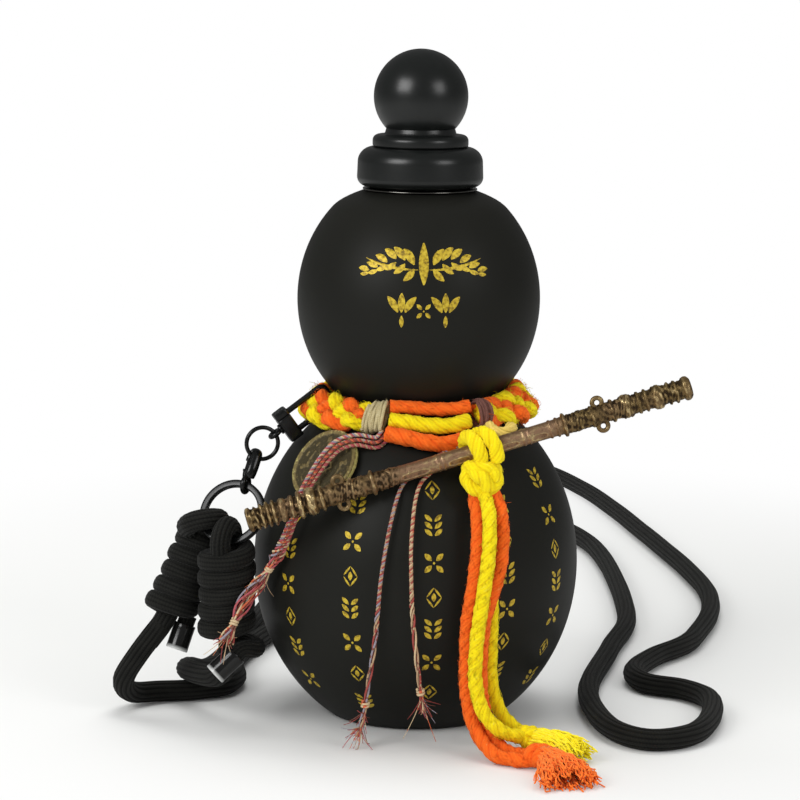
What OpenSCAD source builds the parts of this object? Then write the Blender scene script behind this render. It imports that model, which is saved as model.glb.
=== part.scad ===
// Double-walled gourd flask with a ball lid, a braided neck cord with charms,
// black swivel fittings and a long shoulder strap laid on the table behind it.
// Millimetres. The origin is the centre of the foot, +Z is up, -Y is the front.

/* [Body] */
// Radius of the lower bulb at its widest
lower_r = 61; // [59:0.5:64]
// Half height of the lower bulb's ellipse
lower_h = 68.2; // [66:0.2:71]
// Height of the lower bulb's centre
lower_z = 57.9; // [56:0.1:59]
// Radius of the upper bulb at its widest
upper_r = 45.3; // [43:0.1:46]
// Half height of the upper bulb's ellipse
upper_h = 48.6; // [47:0.2:50]
// Height of the upper bulb's centre
upper_z = 157.5; // [156:0.5:160]
// Size of the fillet at the waist
waist_fillet = 3; // [1:0.5:5]
// Wall of the outer shell
wall = 1; // [0.7:0.1:1.2]
// Wall of the inner liner
liner_wall = 0.8; // [0.6:0.1:1]
// Vacuum space between the two walls
vacuum_gap = 3.2; // [2.5:0.1:3.5]

/* [Neck] */
// Height where the shoulder turns into the neck
shoulder_z = 197.4; // [196.6:0.2:197.8]
// Outer radius of the neck
neck_r = 18.2; // [17.5:0.1:18.8]
// Height of the mouth rim
rim_z = 208.2; // [207.5:0.1:209]
// Radius of the drinking bore
bore_r = 14.7; // [13.5:0.1:15]
// Outer radius of the polished neck band
band_r = 21.2; // [20.5:0.1:22]

/* [Foot] */
// Radius of the rubber foot pad
pad_r = 26; // [20:0.5:28]
// Thickness of the rubber foot pad
pad_t = 1.8; // [1.2:0.1:2.4]
// Height of the steel edge above the table
edge_lift = 0.4; // [0.2:0.1:0.8]

/* [Lid] */
// Largest radius of the lid's collar
collar_r = 23.25; // [22.5:0.05:24]
// Height of the collar's lower face
collar_z = 198.8; // [198.6:0.1:199.4]
// Height of the collar
collar_h = 15; // [14.5:0.1:16]
// Radius of the flange under the ball
flange_r = 17.8; // [16.5:0.1:19]
// Height of the flange
flange_h = 4.6; // [4:0.1:5.2]
// Radius of the ball knob
ball_r = 17.5; // [16:0.1:19]
// Height of the ball's centre above the collar's top
ball_rise = 18.7; // [17:0.1:20]
// Clearance between the stopper and the bore
stopper_gap = 0.5; // [0.3:0.1:1]
// Depth that the stopper reaches below the rim
stopper_depth = 16; // [12:0.5:20]

/* [Neck cord] */
// Half width of the flat braid
braid_half_w = 7.4; // [6.5:0.1:7.8]
// Half thickness of the flat braid
braid_half_t = 3.3; // [2.8:0.1:3.5]
// Diameter of the cotton cord
cotton_d = 4.8; // [4.2:0.1:4.9]
// Diameter of the twisted thread
thread_d = 2; // [1.4:0.1:2.2]

/* [Charms] */
// Length of the bronze rod
rod_len = 166.5; // [160:0.5:170]
// Radius of the rod's plain middle
rod_r = 2.8; // [2.4:0.1:3]
// Diameter of the coin
coin_d = 28; // [24:0.5:30]
// Thickness of the coin
coin_t = 1.8; // [1.2:0.1:2]
// Side of the coin's square hole
coin_hole = 5.2; // [4.4:0.1:6]

/* [Fittings] */
// Wire diameter of the strap loop
loop_wire = 2.2; // [1.8:0.1:2.3]
// Distance between the strap loop's two long wires
loop_pitch = 7.8; // [7.6:0.1:8.2]
// Length of the swivel block across the wires
block_len = 10.6; // [10.2:0.1:11.4]
// Thickness of the swivel block along the post
block_t = 4.7; // [4.2:0.1:5]
// Wire radius of the small ring
small_wire_r = 0.75; // [0.6:0.05:0.8]
// Radius of the small ring to the wire's middle
small_ring_r = 5.95; // [5.6:0.05:6.2]
// Radius of the split ring to the band's middle
split_r = 11.4; // [11:0.1:11.8]
// Width of the split ring's band
split_w = 1.9; // [1.5:0.1:2.1]
// Thickness of one turn of the split ring
split_t = 1.15; // [0.9:0.05:1.2]

/* [Strap] */
// Diameter of the strap cord
strap_d = 8; // [7:0.1:8]
// Diameter of the cord where it is wound into a noose
wrap_d = 5.9; // [5:0.1:6]
// Number of turns in each noose
wrap_turns = 5; // [3:1:6]
// Height of one turn of a noose
wrap_pitch = 6.5; // [6.4:0.05:6.8]

/* [Hidden] */
$fn = 48;

// Vectors, splines and swept tubes

function unit(v) = v / norm(v);

// Direction of a path at point i
function heading(p, i) =
    i == 0 ? unit(p[1] - p[0]) :
    i == len(p) - 1 ? unit(p[i] - p[i - 1]) : unit(p[i + 1] - p[i - 1]);

// Part of v that is square to the unit vector t, made one long
function square_to(v, t) = unit(v - (v * t) * t);

// Side vectors of a path that turn as little as possible from point to point
function sides_of(p) =
    let (t0 = heading(p, 0), first = square_to(abs(t0.z) < 0.8 ? [0, 0, 1] : [1, 0, 0], t0))
    [for (i = 0, u = first; i < len(p);
          i = i + 1, u = i < len(p) ? square_to(u, heading(p, i)) : u) u];

// Curve through the points p with k steps between neighbours
function curve(p, k) = [
    for (i = [0 : len(p) - 2], j = [0 : k - 1])
        let (
            a = p[max(i - 1, 0)], b = p[i], c = p[i + 1], d = p[min(i + 2, len(p) - 1)],
            s = j / k
        )
        0.5 * (2 * b + (c - a) * s + (2 * a - 5 * b + 4 * c - d) * s * s
            + (3 * b - a - 3 * c + d) * s * s * s),
    p[len(p) - 1]
];

// Ring of n points round the point c, with half axes a along u and b along v
function oval(c, u, v, a, b, n) =
    [for (j = [0 : n - 1]) c + a * cos(360 * j / n) * u + b * sin(360 * j / n) * v];

// Closed solid over a list of rings that all have the same number of points
module skin(rings) {
    m = len(rings[0]);
    n = len(rings);
    polyhedron(
        points = [for (r = rings, q = r) q],
        faces = concat(
            [for (j = [1 : m - 2]) [0, j, j + 1]],
            [for (i = [0 : n - 2], j = [0 : m - 1], k = [0, 1])
                let (a = i * m + j, b = i * m + (j + 1) % m, c = b + m, d = a + m)
                k == 0 ? [a, d, c] : [a, c, b]],
            [for (j = [1 : m - 2]) [(n - 1) * m, (n - 1) * m + j + 1, (n - 1) * m + j]]
        )
    );
}

// Round tube of radius r along the points p, which may also narrow by the factors k
module tube(p, r, n = 8, k = undef) {
    u = sides_of(p);
    skin([for (i = [0 : len(p) - 1])
        let (t = heading(p, i), q = r * (is_undef(k) ? 1 : k[i]))
        oval(p[i], u[i], cross(t, u[i]), q, q, n)]);
}

// Children stand at p with their +Z along d, after a turn about it
module aim(p, d, turn = 0) {
    translate(p) rotate([0, acos(d.z / norm(d)), atan2(d.y, d.x)]) rotate([0, 0, turn]) children();
}

module torus(major, minor, sweep = 360) {
    rotate_extrude(angle = sweep) translate([major, 0]) circle(minor, $fn = 32);
}

// Quarter of a circle as outline points, from angle a0 to a1
function arc(cx, cy, r, a0, a1, n = 6) =
    [for (i = [0 : n]) let (a = a0 + (a1 - a0) * i / n) [cx + r * cos(a), cy + r * sin(a)]];

// Flask body

// Radius at height z of an ellipse of revolution
function ell(a, b, zc, z) = a * sqrt(max(0, 1 - pow((z - zc) / b, 2)));

// Radius of the gourd at height z, moved inwards by t
function gourd_r(z, t = 0) =
    let (p = ell(lower_r - t, lower_h - t, lower_z, z), q = ell(upper_r - t, upper_h - t, upper_z, z))
    (p + q + sqrt(pow(p - q, 2) + pow(waist_fillet * min(1, min(p, q) / 5), 2))) / 2
    - 0.117 * pow(max(0, z - shoulder_z + 5.9), 2);

liner_t = wall + vacuum_gap;
floor_z = 9;
base_z = 4;
cover_z = pad_t - 0.4;
shell_steps = 66;
foot_r = gourd_r(edge_lift);

function gourd_outline(t, z0, z1, n) =
    [for (i = [0 : n]) let (z = z0 + (z1 - z0) * i / n) [gourd_r(z, t), z]];

module outer_shell() {
    color([0.10, 0.095, 0.085])
    rotate_extrude()
    polygon(concat(
        gourd_outline(0, edge_lift, shoulder_z, shell_steps),
        [[neck_r, shoulder_z + 0.6], [neck_r, rim_z], [neck_r - wall, rim_z],
         [neck_r - wall, shoulder_z - wall]],
        [for (i = [0 : shell_steps])
            let (z = shoulder_z - wall - (shoulder_z - wall - edge_lift) * i / shell_steps)
            [gourd_r(z, wall), z]]
    ));
}

liner_neck_r = bore_r + liner_wall;
liner_top_z = shoulder_z - liner_t - 2;

module inner_liner() {
    color([0.75, 0.75, 0.76])
    rotate_extrude()
    polygon(concat(
        [[0, floor_z - liner_wall]],
        gourd_outline(liner_t, floor_z - liner_wall, liner_top_z, 44),
        [[liner_neck_r, liner_top_z + 4], [liner_neck_r, rim_z], [neck_r, rim_z],
         [neck_r, rim_z + 0.8], [bore_r + 0.4, rim_z + 0.8], [bore_r, rim_z + 0.4],
         [bore_r, liner_top_z + 4]],
        [for (i = [0 : 44])
            let (z = liner_top_z - (liner_top_z - floor_z) * i / 44)
            [gourd_r(z, liner_t + liner_wall), z]],
        [[0, floor_z]]
    ));
}

base_r = gourd_r(base_z, wall) - 0.3;
rim_r = gourd_r(edge_lift + 0.8, wall) - 0.3;

module vacuum_base() {
    color([0.7, 0.7, 0.71])
    difference() {
        rotate_extrude()
        polygon([
            [0, base_z - 0.6], [6, base_z - 0.6], [9, base_z], [rim_r - 3, base_z],
            [rim_r - 1, base_z - 1.6], [rim_r - 1, edge_lift + 0.8], [rim_r, edge_lift + 0.8],
            [base_r, base_z], [base_r - 2.6, base_z + 1], [9, base_z + 1], [6, base_z + 0.4],
            [0, base_z + 0.4]
        ]);
        translate([0, 0, base_z - 2]) cylinder(h = 4, r = 1);
    }
}

module getter_disc() {
    color([0.5, 0.5, 0.5])
    translate([16, 0, base_z + 1])
    difference() {
        cylinder(h = 2, r = 4.5);
        translate([0, 0, 0.5]) cylinder(h = 2, r = 3.9);
    }
}

module base_cover() {
    color([0.10, 0.095, 0.085])
    rotate_extrude()
    polygon([
        [0, cover_z], [pad_r + 0.2, cover_z], [pad_r + 0.2, edge_lift + 0.2],
        [rim_r - 1.3, edge_lift + 0.2], [rim_r - 1.3, edge_lift + 1], [pad_r + 1.2, edge_lift + 1],
        [pad_r + 1.2, cover_z + 0.8], [0, cover_z + 0.8]
    ]);
}

module foot_pad() {
    color([0.08, 0.08, 0.08])
    rotate_extrude()
    polygon([[0, 0], [pad_r - 0.5, 0], [pad_r, 0.4], [pad_r, cover_z], [0, cover_z]]);
}

module neck_band() {
    color([0.16, 0.16, 0.16])
    rotate_extrude()
    polygon([
        [neck_r + 0.1, shoulder_z + 0.65], [band_r, shoulder_z + 0.65], [band_r + 0.15, shoulder_z + 0.8],
        [band_r - 0.1, collar_z - 0.1], [neck_r + 0.1, collar_z - 0.1]
    ]);
}

// Lid

collar_top = collar_z + collar_h;
collar_in_r = neck_r + 0.6;
roof_z = rim_z + 3.4;
spigot_r = 7;

module cap_collar() {
    color([0.09, 0.09, 0.09])
    rotate_extrude()
    polygon(concat(
        [[collar_in_r, collar_z]],
        arc(collar_r - 3.4, collar_z + 4, 3.6, -90, 0),
        arc(collar_r - 5.6, collar_top - 5.6, 5.6, 0, 90),
        [[spigot_r + 0.1, collar_top], [spigot_r + 0.1, roof_z], [collar_in_r, roof_z]]
    ));
}

ball_z = collar_top + ball_rise;

module cap_knob() {
    color([0.09, 0.09, 0.09])
    rotate_extrude()
    polygon(concat(
        [[0, roof_z - 0.2], [spigot_r, roof_z - 0.2], [spigot_r, collar_top]],
        arc(flange_r - 1, collar_top + 1, 1, -90, 0, 2),
        arc(flange_r - 2.2, collar_top + flange_h - 2.2, 2.2, 0, 90),
        [[13.6, collar_top + flange_h], [13.2, collar_top + flange_h + 1]],
        arc(0, ball_z, ball_r, -44, 90, 22)
    ));
}

plug_r = bore_r - stopper_gap;
plug_bottom = rim_z - stopper_depth;

module cap_stopper() {
    color([0.12, 0.12, 0.12])
    rotate_extrude()
    polygon([
        [0, plug_bottom], [plug_r - 1.5, plug_bottom], [plug_r, plug_bottom + 1.5],
        [plug_r, plug_bottom + 3], [plug_r - 1.2, plug_bottom + 3], [plug_r - 1.2, plug_bottom + 5],
        [plug_r, plug_bottom + 5], [plug_r, rim_z + 2.1], [collar_in_r - 0.4, rim_z + 2.1],
        [collar_in_r - 0.4, roof_z - 0.2], [plug_r - 1.6, roof_z - 0.2],
        [plug_r - 2.8, plug_bottom + 1.6], [0, plug_bottom + 1.6]
    ]);
}

module stopper_foam() {
    color([0.9, 0.9, 0.88])
    translate([0, 0, plug_bottom + 1.7])
    cylinder(h = roof_z - 0.6 - plug_bottom - 1.7, r = plug_r - 3);
}

module cap_gasket() {
    color([0.85, 0.85, 0.83])
    translate([0, 0, rim_z + 0.85])
    difference() {
        cylinder(h = 1.2, r = neck_r - 0.2);
        translate([0, 0, -1]) cylinder(h = 4, r = plug_r + 0.05);
    }
}

module stopper_seal() {
    color([0.85, 0.85, 0.83])
    translate([0, 0, plug_bottom + 4]) torus(plug_r - 0.45, 0.7);
}

// Neck cord

// The braid rests on the upper bulb at its top edge and on the lower bulb at its bottom edge
braid_r = max(gourd_r(124) + 5.65, gourd_r(112) + 1.3);
// The cord and charm routes are written for this braid radius and spread out with it
route_r = 38.6;
spread = braid_r / route_r;
bulb_spread = lower_r / 61;
function out(p) = [p.x * spread, p.y * spread, p.z];
function outs(p) = [for (q = p) out(q)];

braid_tilt = 50;
braid_lead = 247;
braid_span = 301.5;
braid_steps = 50;

loop_az = 194;
// How near the compass angle a is to the strap loop, from 0 to 1
function by_loop(a, reach) = exp(-pow((a - loop_az) / reach, 2));

// Middle of the braid at compass angle a, and its two section directions
function braid_mid(a) =
    let (r = braid_r + 0.8 * cos(a) + 1.6 * by_loop(a, 16))
    [r * cos(a), r * sin(a), 118.3 + 1.2 * cos(a) + 1.4 * by_loop(a, 16)];
function braid_w(a) = [-cos(braid_tilt) * cos(a), -cos(braid_tilt) * sin(a), sin(braid_tilt)];
function braid_t(a) = [sin(braid_tilt) * cos(a), sin(braid_tilt) * sin(a), cos(braid_tilt)];

// The braid is squeezed where the strap loop holds it and where the bindings close it
function squeeze(a) = 1 - 0.36 * by_loop(a, 7);
function gather(f) = min(1, 0.72 + 3 * min(f, 1 - f));

module neck_braid() {
    color([0.98, 0.62, 0.04])
    skin([for (i = [0 : braid_steps])
        let (
            f = i / braid_steps, a = braid_lead - 4.2 - (braid_span - 7.4) * f,
            w = braid_half_w * gather(f) * squeeze(a), t = braid_half_t * squeeze(a)
        )
        oval(braid_mid(a), braid_t(a), braid_w(a), t, w, 12)]);
}

module binding(a, half_len) {
    turn = half_len / braid_r * 180 / PI;
    skin([for (k = [-1, -0.6, 0.6, 1])
        let (b = a + k * turn, s = abs(k) > 0.9 ? 0.9 : 1)
        oval(braid_mid(b), braid_w(b), braid_t(b), 0.84 * braid_half_w * s, 1.18 * braid_half_t * s, 12)]);
}

module whipping_left() {
    color([0.78, 0.72, 0.52]) binding(braid_lead, 2.7);
}

module whipping_right() {
    color([0.42, 0.26, 0.22]) binding(braid_lead - braid_span, 2);
}

front_upper = outs([
    [-10.2, -35, 121.7], [-4, -34.6, 121.5], [5, -34.6, 120.9], [14, -34.2, 121.2], [18.8, -33, 122]
]);
front_middle = outs([
    [-10, -37.2, 117], [-3, -38.8, 116.4], [4, -39.5, 115.6], [12, -38.8, 115.6], [18.6, -35.6, 116.9]
]);
front_lower = outs([
    [-11.2, -40.4, 112.6], [-4, -43, 111.6], [3, -44, 110.2], [10, -43.2, 109.4],
    [15.5, -41.2, 110.4], [21, -38.6, 110.8], [27, -35.6, 110.6]
]);

module front_cord_upper() {
    color([1, 0.35, 0.08]) tube(curve(front_upper, 3), cotton_d / 2, 8);
}

module front_cord_middle() {
    color([0.96, 0.9, 0.02]) tube(curve(front_middle, 3), cotton_d / 2, 8);
}

module front_cord_lower() {
    color([1, 0.35, 0.08]) tube(curve(front_lower, 2), cotton_d / 2, 8);
}

// Rod and its loop

rod_dir = unit([158.8, 10.5, 48.8]);
rod_turn = 0;
grip_at = 87.5;
// Where the loop holds the rod, a little farther out on a larger bulb to clear the threads
rod_grip = out([22.5, -52, 108.85]) - [0, 16 * (spread - 1), 0];
rod_left = rod_grip - grip_at * rod_dir;
loop_clear = 0.4;
cotton_r = cotton_d / 2;
loop_major = rod_r + cotton_r + loop_clear;
loop_half = 2.4;

module rod_loop() {
    color([0.96, 0.9, 0.02])
    aim(rod_left + grip_at * rod_dir, rod_dir, 180) rotate([0, 0, -100])
    rotate_extrude(angle = 200)
    polygon(concat(
        arc(loop_major, loop_half, cotton_r, 0, 180, 10), arc(loop_major, -loop_half, cotton_r, 180, 360, 10)
    ));
}

knot_mid = rod_grip + [0.5, -2.6, -9.05];
knot_r = 7.4;
knot_h = 5.9;

module ball_knot() {
    color([0.9, 0.9, 0.05])
    difference() {
        translate(knot_mid)
        rotate_extrude()
        polygon([for (i = [0 : 12]) let (a = -90 + 15 * i) [knot_r * cos(a), knot_h * sin(a)]]);
        aim(rod_left + (grip_at - 14) * rod_dir, rod_dir) cylinder(h = 28, r = rod_r + loop_clear);
        aim(rod_left + grip_at * rod_dir, rod_dir)
        rotate_extrude()
        translate([loop_major - cotton_r - 0.3, -loop_half - cotton_r - 0.3])
        square([2 * cotton_r + 0.6, 2 * (loop_half + cotton_r + 0.3)]);
    }
}

// Turned beads of the rod: start, width and radius of each
beads_left = [
    [0, 2.4, 4.4], [3, 1.6, 4.2], [5.2, 1.6, 4.5], [7.4, 1.6, 4.7], [9.6, 1.6, 4.7], [12, 3.2, 4.4],
    [16, 2.2, 4.3], [19, 2.2, 5], [22, 4.4, 5.1], [27.2, 2, 4.7], [30, 3.6, 4], [38.4, 2.2, 4.2],
    [41.4, 3.6, 3.9], [46.2, 2, 4.6], [49, 1.4, 3.7], [51.2, 1.4, 3.6], [53.4, 1.4, 3.5],
    [71, 1.2, 3.2], [73, 1.2, 3.2]
];
beads_right = [
    [103, 1.2, 3.2], [105, 1.2, 3.2], [113, 1.4, 3.4], [115.6, 1.4, 3.6], [118.2, 1.8, 4.4],
    [121.4, 6, 3.6], [128.6, 1.8, 4], [136, 2, 4.15], [139.4, 5.6, 4.3], [146, 1.6, 4.15],
    [148.8, 1.6, 4.2], [151.6, 4.6, 4.4], [157.4, 1.6, 4.15], [160, 1.6, 4.2], [163, 3.5, 4.4]
];
lug_stations = [35.2, 132.4];

function bead_points(b) = [
    for (q = b) each [[rod_r + 0.1, q[0]], [q[2], q[0] + 0.25], [q[2], q[0] + q[1] - 0.25],
                      [rod_r + 0.1, q[0] + q[1]]]
];

module rod() {
    color([0.42, 0.31, 0.17])
    aim(rod_left, rod_dir, rod_turn) {
        rotate_extrude()
        polygon(concat([[0, 0]], bead_points(beads_left), bead_points(beads_right), [[0, rod_len]]));
        for (s = lug_stations, side = [-1, 1])
            translate([side * 4.4, 0, s]) rotate([90, 0, 0])
            difference() {
                cylinder(h = 2.4, r = 2.6, center = true);
                cylinder(h = 4, r = 0.9, center = true);
            }
    }
}

// Coin, tangent to the bulb at its middle

coin_seat = [-33.4 * bulb_spread, -36.2 * bulb_spread, 99.8];
coin_dir = unit([coin_seat.x / pow(lower_r, 2), coin_seat.y / pow(lower_r, 2),
                 (coin_seat.z - lower_z) / pow(lower_h, 2)]);
coin_lift = 0.4;

module coin() {
    color([0.36, 0.33, 0.2])
    aim(coin_seat + coin_lift * coin_dir, coin_dir, 35)
    difference() {
        rotate_extrude()
        polygon([
            [0, 0.3], [coin_d / 2 - 2.2, 0.3], [coin_d / 2 - 2, 0], [coin_d / 2 - 0.2, 0],
            [coin_d / 2, 0.2], [coin_d / 2, coin_t - 0.2], [coin_d / 2 - 0.2, coin_t],
            [coin_d / 2 - 2, coin_t], [coin_d / 2 - 2.2, coin_t - 0.3], [0, coin_t - 0.3]
        ]);
        translate([-coin_hole / 2, -coin_hole / 2, -1]) cube([coin_hole, coin_hole, 4]);
    }
}

coin_thread_path = outs([
    [-15, -41, 109.4], [-22, -41.6, 110.4], [-28.6, -41.4, 108.4], [-33.6, -42, 103.4], [-38, -43.4, 96.8],
    [-42, -44.4, 89.4], [-45, -44.8, 81], [-48, -43, 73], [-52, -39, 64.6], [-57, -36.4, 56.4],
    [-62.6, -38.4, 49.4], [-66.2, -42.4, 42.4], [-69.4, -43.6, 35.4]
]);

module coin_thread() {
    color([0.72, 0.36, 0.28]) tube(curve(coin_thread_path, 2), thread_d / 2 + 0.4, 8);
}

thread_a_path = outs([
    [9, -45.2, 106.4], [5, -47.3, 104.2], [0, -49.1, 101.2], [-3.4, -50.6, 98], [-6, -53, 94.6], [-8.2, -57, 88.2],
    [-10.6, -60.4, 77], [-12.6, -62.4, 64], [-13.8, -62.4, 50], [-15.2, -60.8, 36], [-17, -59, 23],
    [-18.4, -58, 12.6], [-20.4, -59, 4.4]
]);
thread_b_path = outs([
    [13.6, -44.6, 104.4], [9.6, -46.9, 103], [5.4, -49.2, 100.4], [1.4, -52, 96.8], [-0.6, -55.8, 91.2],
    [-1.6, -59.8, 82.6], [-2, -62.4, 73], [-1.6, -63.8, 58], [-0.9, -63.2, 46], [0.6, -61.6, 32.6],
    [2.2, -60, 20.6], [3.2, -59.4, 14]
]);

module thread_a() {
    color([0.74, 0.4, 0.33]) tube(curve(thread_a_path, 3), thread_d / 2, 8);
}

module thread_b() {
    color([0.74, 0.4, 0.33]) tube(curve(thread_b_path, 3), thread_d / 2, 8);
}

// Tassel cords, from under the knot down to the table

orange_a_path = outs([
    [20.8, -56.8, 91.4], [21.6, -60.2, 87], [21.8, -64, 76], [20.4, -65.8, 62],
    [18.4, -66, 48], [18.2, -66, 36], [18.4, -66.4, 25], [20.2, -68.4, 14.6], [24, -72.4, 7.2],
    [29, -77.6, 3.2], [34.6, -81, 2.5], [39.8, -82.8, 2.5]
]);
yellow_a_path = outs([
    [24.6, -60.2, 92.6], [25.6, -64.6, 88], [25.8, -68, 79.5], [25.2, -69.4, 70.5], [23.8, -70, 59.5],
    [22.2, -70.6, 48], [21.4, -71, 37], [21.6, -71.4, 27.3], [24.4, -72.4, 17.6],
    [30, -72.6, 11.4], [35.6, -70.4, 8.6]
]);
orange_b_path = outs([
    [28.4, -57.6, 92], [29.8, -60.2, 87.4], [30.6, -62, 79.5], [29.8, -64, 69], [27.2, -65.2, 59],
    [24.6, -65.2, 50], [23.6, -65.2, 40], [23.4, -65.4, 30], [24, -66.2, 21], [25.8, -67.2, 13.4],
    [28.8, -69.4, 6.6], [33.4, -72.4, 3.2], [41, -76.6, 2.5]
]);
yellow_b_path = outs([
    [25, -53.4, 92], [25.8, -56, 86.4], [26.2, -58, 75], [26.6, -59.4, 63], [27.2, -59.8, 50],
    [27, -59.8, 37], [27.2, -60.2, 27.5], [28.8, -60.6, 19.5], [32.4, -61, 12.5], [37, -61.6, 8.4]
]);

module tassel_orange_a() {
    color([1, 0.35, 0.08]) tube(curve(orange_a_path, 2), cotton_r, 8);
}

module tassel_yellow_a() {
    color([0.96, 0.9, 0.02]) tube(curve(yellow_a_path, 2), cotton_r, 8);
}

module tassel_orange_b() {
    color([1, 0.35, 0.08]) tube(curve(orange_b_path, 2), cotton_r, 8);
}

module tassel_yellow_b() {
    color([0.96, 0.9, 0.02]) tube(curve(yellow_b_path, 2), cotton_r, 8);
}

// End knot and its flattened fray: route, half width and half height at each point
module frayed_end(p, w, h) {
    skin([for (i = [0 : len(p) - 1])
        let (t = heading(p, i), u = square_to([t.y, -t.x, 0], t))
        oval(p[i], u, cross(t, u), w[i], h[i], 10)]);
}

module tassel_end_yellow() {
    color([0.96, 0.9, 0.02])
    frayed_end(
        outs([[39.2, -65.6, 6.8], [41, -66, 6.6], [44, -66.8, 5.6], [46.4, -67.8, 5], [50, -70.4, 4.4],
              [54, -75, 3.4], [57.4, -80, 2.2]]),
        [4.2, 5.2, 4.4, 3.4, 4.6, 5.4, 5.4], [3, 4, 3.8, 2.6, 3, 2.6, 1.6]
    );
}

module tassel_end_orange() {
    color([1, 0.35, 0.08])
    frayed_end(
        outs([[42.4, -80, 3.6], [44, -80.8, 4.2], [47, -83, 4.2], [49, -86, 3.8], [51.4, -91.6, 3.6],
              [53.4, -99, 2.8], [55, -107, 1.9]]),
        [5.6, 6.2, 5, 4, 6, 7.6, 8], [3.2, 4, 3.8, 2.8, 2.8, 2.2, 1.4]
    );
}

// Black fittings, hung from the braid at its left side

loop_mid = braid_mid(loop_az);
post_dir = unit([-0.79, -0.2, -0.59]);
loop_across = square_to(braid_t(loop_az), post_dir);
loop_side = cross(post_dir, loop_across);
block_at = 13.2;
block_mid = loop_mid + block_at * post_dir;
loop_far = 6.3;
block_w = 5;
post_r = 1.2;
post_gap = 0.15;

// Children are drawn with Z along the post, X across the wires
module on_post(p) {
    multmatrix([
        [loop_across.x, loop_side.x, -post_dir.x, p.x],
        [loop_across.y, loop_side.y, -post_dir.y, p.y],
        [loop_across.z, loop_side.z, -post_dir.z, p.z],
        [0, 0, 0, 1]
    ]) children();
}

module strap_loop() {
    color([0.08, 0.08, 0.08])
    on_post(block_mid)
    difference() {
        union() {
            translate([-block_len / 2, -block_w / 2, -block_t / 2]) cube([block_len, block_w, block_t]);
            for (s = [-1, 1])
                translate([s * loop_pitch / 2, 0, 0]) cylinder(h = block_at + loop_far, d = loop_wire);
            translate([-loop_pitch / 2 - loop_wire / 2, 0, block_at + loop_far]) rotate([0, 90, 0])
                cylinder(h = loop_pitch + loop_wire, d = loop_wire);
        }
        translate([0, 0, -block_t]) cylinder(h = 2 * block_t, r = post_r + post_gap);
    }
}

eye_major = 1.9;
eye_minor = 0.8;
eye_out = block_t / 2 + 0.35 + eye_major + eye_minor;
eye_mid = block_mid + eye_out * post_dir;

module swivel_eye() {
    color([0.08, 0.08, 0.08])
    on_post(block_mid) {
        translate([0, 0, -eye_out + eye_major]) cylinder(h = eye_out - eye_major + block_t / 2 + 0.3, r = post_r);
        translate([0, 0, block_t / 2 + 0.2]) cylinder(h = 1, r = 2.1);
        translate([0, 0, -eye_out]) rotate([0, 90, 0]) torus(eye_major, eye_minor);
    }
}

small_ring_mid = eye_mid + small_ring_r * post_dir;
small_ring_dir = loop_side;

module small_ring() {
    color([0.08, 0.08, 0.08]) aim(small_ring_mid, small_ring_dir) torus(small_ring_r, small_wire_r);
}

hang_dir = square_to([-0.51, 0, -0.86], small_ring_dir);
hook_at = small_ring_mid + small_ring_r * hang_dir;
clasp_dir = unit([-0.26, -0.5, -0.825]);
clasp_face = square_to(cross(small_ring_dir, hang_dir), clasp_dir);
clasp_wide = cross(clasp_dir, clasp_face);
hook_bar = 1;
hook_major = 2.9;
hook_drop = 0.8;
arm_end = 4.9;
eye2_major = 2.75;
eye2_minor = 0.85;
eye2_at = 11.3;

// Children are drawn with Z down the clasp, X across it and Y through it
module on_clasp() {
    multmatrix([
        [clasp_wide.x, clasp_face.x, clasp_dir.x, hook_at.x],
        [clasp_wide.y, clasp_face.y, clasp_dir.y, hook_at.y],
        [clasp_wide.z, clasp_face.z, clasp_dir.z, hook_at.z],
        [0, 0, 0, 1]
    ]) children();
}

module clasp_body() {
    color([0.08, 0.08, 0.08])
    on_clasp()
    difference() {
        union() {
            translate([0, 0, hook_drop]) rotate([-90, 0, 0]) torus(hook_major, hook_bar, 180);
            translate([-hook_major, 0, hook_drop - 0.3]) cylinder(h = arm_end - hook_drop + 0.5, r = hook_bar + 0.12);
            translate([hook_major, 0, hook_drop - 0.3]) cylinder(h = 0.8, r = hook_bar + 0.12);
            translate([-3.9, -1.9, arm_end - 0.6]) cube([7.8, 3.8, 2.8]);
        }
        translate([1.6, -0.95, arm_end - 1]) cube([3, 1.9, 2.45]);
        translate([hook_major, 0, pin_z]) rotate([90, 0, 0]) cylinder(h = 8, r = 0.5, center = true);
        translate([0, 0, arm_end + 0.6]) cylinder(h = 6, r = 1);
    }
}

gate_z0 = hook_drop + 0.8;
pin_z = arm_end + 0.3;

module clasp_gate() {
    color([0.08, 0.08, 0.08])
    on_clasp()
    difference() {
        union() {
            translate([hook_major, 0, gate_z0]) cylinder(h = pin_z - gate_z0 - 0.2, r = 0.7);
            translate([hook_major - 0.9, -0.75, pin_z - 0.9]) cube([1.8, 1.5, 1.8]);
        }
        translate([hook_major, 0, pin_z]) rotate([90, 0, 0]) cylinder(h = 4, r = 0.5, center = true);
    }
}

module gate_pin() {
    color([0.3, 0.3, 0.3])
    on_clasp() translate([hook_major, 0, pin_z]) rotate([90, 0, 0]) cylinder(h = 3.6, r = 0.42, center = true);
}

module clasp_eye() {
    color([0.08, 0.08, 0.08])
    {
        on_clasp() translate([0, 0, arm_end + 0.9]) cylinder(h = eye2_at - eye2_major - arm_end - 0.9, r = 0.85);
        aim(hook_at + eye2_at * clasp_dir, square_to(split_run, clasp_dir)) torus(eye2_major, eye2_minor);
    }
}

split_side = unit([0.94, -0.342, 0]);
split_drop = unit([-0.171, -0.47, -0.866]);
split_dir = cross(split_side, split_drop);
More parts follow.
